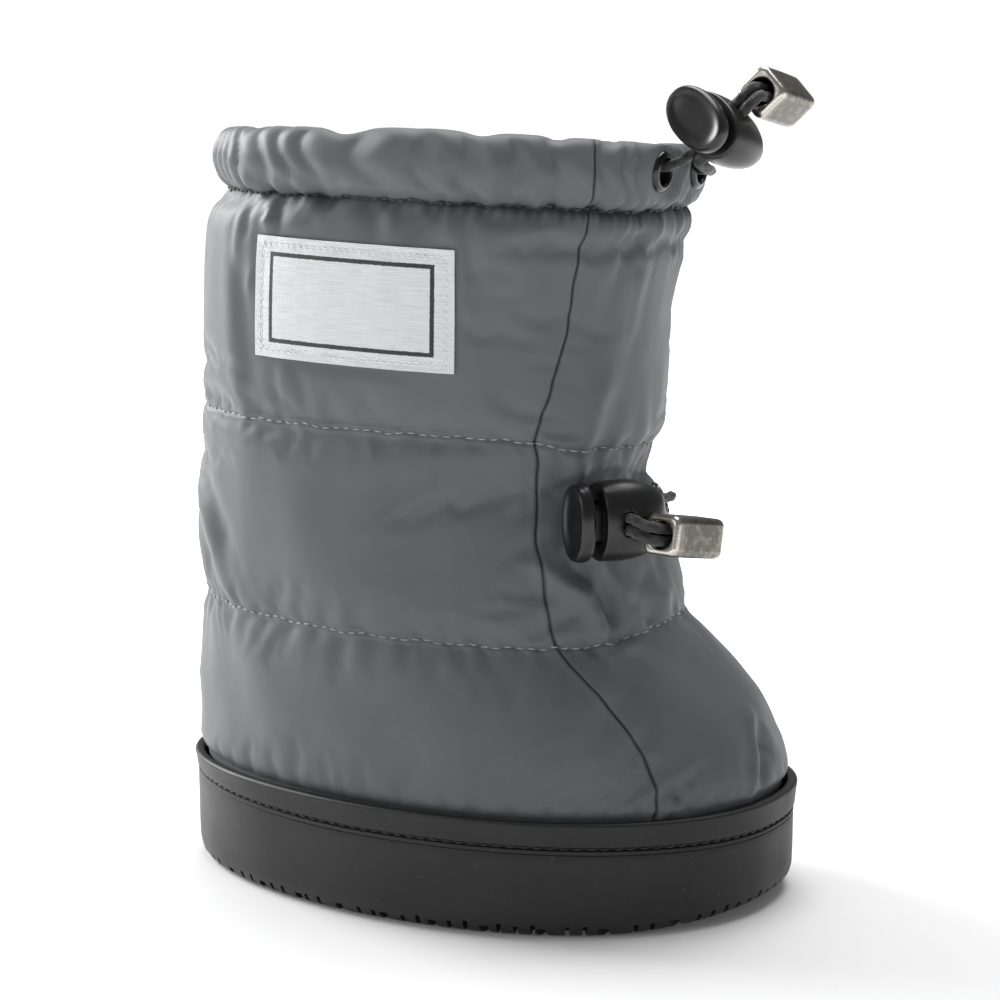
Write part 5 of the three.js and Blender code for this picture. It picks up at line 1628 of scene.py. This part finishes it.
def pewter():
    material, tree, shader = new_material("antique_pewter", (0.3, 0.27, 0.23), 0.4, Metallic=1.0)
    place = object_place(tree)
    grain = use_group(tree, GRAIN, place, Scale=1300.0)
    edge = add_node(tree, "ShaderNodeAttribute", attribute_name="edge").outputs["Fac"]
    rub = noise(tree, place, Scale=650.0, Detail=4.0, Roughness=0.7)
    worn = calc(tree, "MULTIPLY_ADD", calc(tree, "SUBTRACT", rub, 0.5), 0.55, edge)
    stops = [(0.05, (0.045, 0.042, 0.036)), (0.5, (0.115, 0.107, 0.093)), (0.95, (0.54, 0.51, 0.46))]
    tree.links.new(ramp(tree, worn, stops), shader.inputs["Base Color"])
    tree.links.new(remap(tree, worn, 0.1, 0.9, 0.5, 0.26), shader.inputs["Roughness"])
    add_bump(tree, shader, grain.outputs["Height"], 0.25, 0.0004)
    return material


LACQUER, LOCK_PLASTIC, CORD_YARN, PEWTER = gloss_lacquer(), lock_plastic(), cord_yarn(), pewter()

# %% [markdown]
# Each piece gets its material and its body, and the imported solids that it stands for are named,
# so that they aren't shown.

# %% Dressing
def dress(piece, material, body, slot, *nodes):
    if material is not None:
        piece.data.materials.clear()
        piece.data.materials.append(material)
    if nodes:
        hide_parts(*nodes)
    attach(piece, body)


dress(shell, NYLON, "boot", "shell", "upper")
dress(lining, LINING, "boot", "shell", "upper")
dress(sole, RUBBER, "boot", "sole", "outsole")
dress(insole_pad, INSOLE, "boot", "insole", "insole")
dress(label, LABEL_CLOTH, "boot", "label", "side_label")
for stitches, stitch_slot in ((quilt_stitches, "shell"), (casing_stitches, "shell"), (sole_stitches, "sole"),
                              (label_stitches, "label")):
    dress(stitches, None, "boot", stitch_slot)
for eyelet_name, piece in eyelets.items():
    dress(piece, LACQUER, "boot", "eyelet", eyelet_name)
for which, (barrel, plunger) in locks.items():
    dress(barrel, LOCK_PLASTIC, "boot", "lock", which + "_lock_barrel")
    dress(plunger, LOCK_PLASTIC, which + "_plunger", "lock", which + "_lock_plunger")
for which, piece in ends.items():
    dress(piece, PEWTER, "boot", "cord_end", which + "_cord_end")
for cord_name, (piece, path, length) in cords.items():
    which, side_name = cord_name.split("_")
    dress(piece, CORD_YARN, "boot", "cord", which + "_cord_" + side_name)

# %% [markdown]
# A plain white floor that glows with painted light, weakly near the shoe and fully further out, so that it
# fades into a white room, as in a product photograph. One large soft light stands to the left behind the
# shoe, a wide one above it and a weak one at the camera's side.

# %% Floor and light
def add_light(name, place, size, power):
    lamp = bpy.data.lights.new(name, "AREA")
    lamp.shape, lamp.size, lamp.energy = "DISK", size, power
    thing = bpy.data.objects.new(name, lamp)
    thing.location = place
    thing.rotation_euler = (Vector((0, 0, 0.07)) - Vector(place)).to_track_quat("-Z", "Y").to_euler()
    bpy.context.collection.objects.link(thing)


floor = new_object("floor", [(-6, -6, 0), (6, -6, 0), (6, 6, 0), (-6, 6, 0)], [(0, 1, 2, 3)])
# Painted light: the floor glows, at 0.05 of full strength within 0.14 m of the shoe and fully from 0.5 m out.
floor_material, floor_tree, floor_shader = new_material("studio_floor", (0.86, 0.86, 0.86), 0.6,
                                                        Emission_Color=(1, 1, 1, 1))
floor_distance = add_node(floor_tree, "ShaderNodeVectorMath", operation="LENGTH")
floor_tree.links.new(object_place(floor_tree), floor_distance.inputs[0])
floor_tree.links.new(remap(floor_tree, floor_distance.outputs["Value"], 0.14, 0.5, 0.05, 1.0),
                     floor_shader.inputs["Emission Strength"])
floor.data.materials.append(floor_material)

add_light("back_left", (-0.85, 0.05, 0.5), 0.6, 12.5)
add_light("above", (0.0, 0.25, 0.95), 0.8, 9.5)
add_light("front", (-0.4, -1.05, 0.6), 0.7, 2.0)

world = bpy.data.worlds.new("room")
bpy.context.scene.world = world
world.use_nodes = True
background = world.node_tree.nodes["Background"]
background.inputs["Color"].default_value = (1, 1, 1, 1)
background.inputs["Strength"].default_value = 0.23
seen = add_node(world.node_tree, "ShaderNodeBackground", Strength=1.0, Color=(1, 1, 1, 1))
choose = add_node(world.node_tree, "ShaderNodeMixShader")
rays = add_node(world.node_tree, "ShaderNodeLightPath")
world.node_tree.links.new(rays.outputs["Is Camera Ray"], choose.inputs[0])
world.node_tree.links.new(background.outputs[0], choose.inputs[1])
world.node_tree.links.new(seen.outputs[0], choose.inputs[2])
world.node_tree.links.new(choose.outputs[0], world.node_tree.nodes["World Output"].inputs[0])
bpy.context.scene.view_settings.view_transform = "Standard"
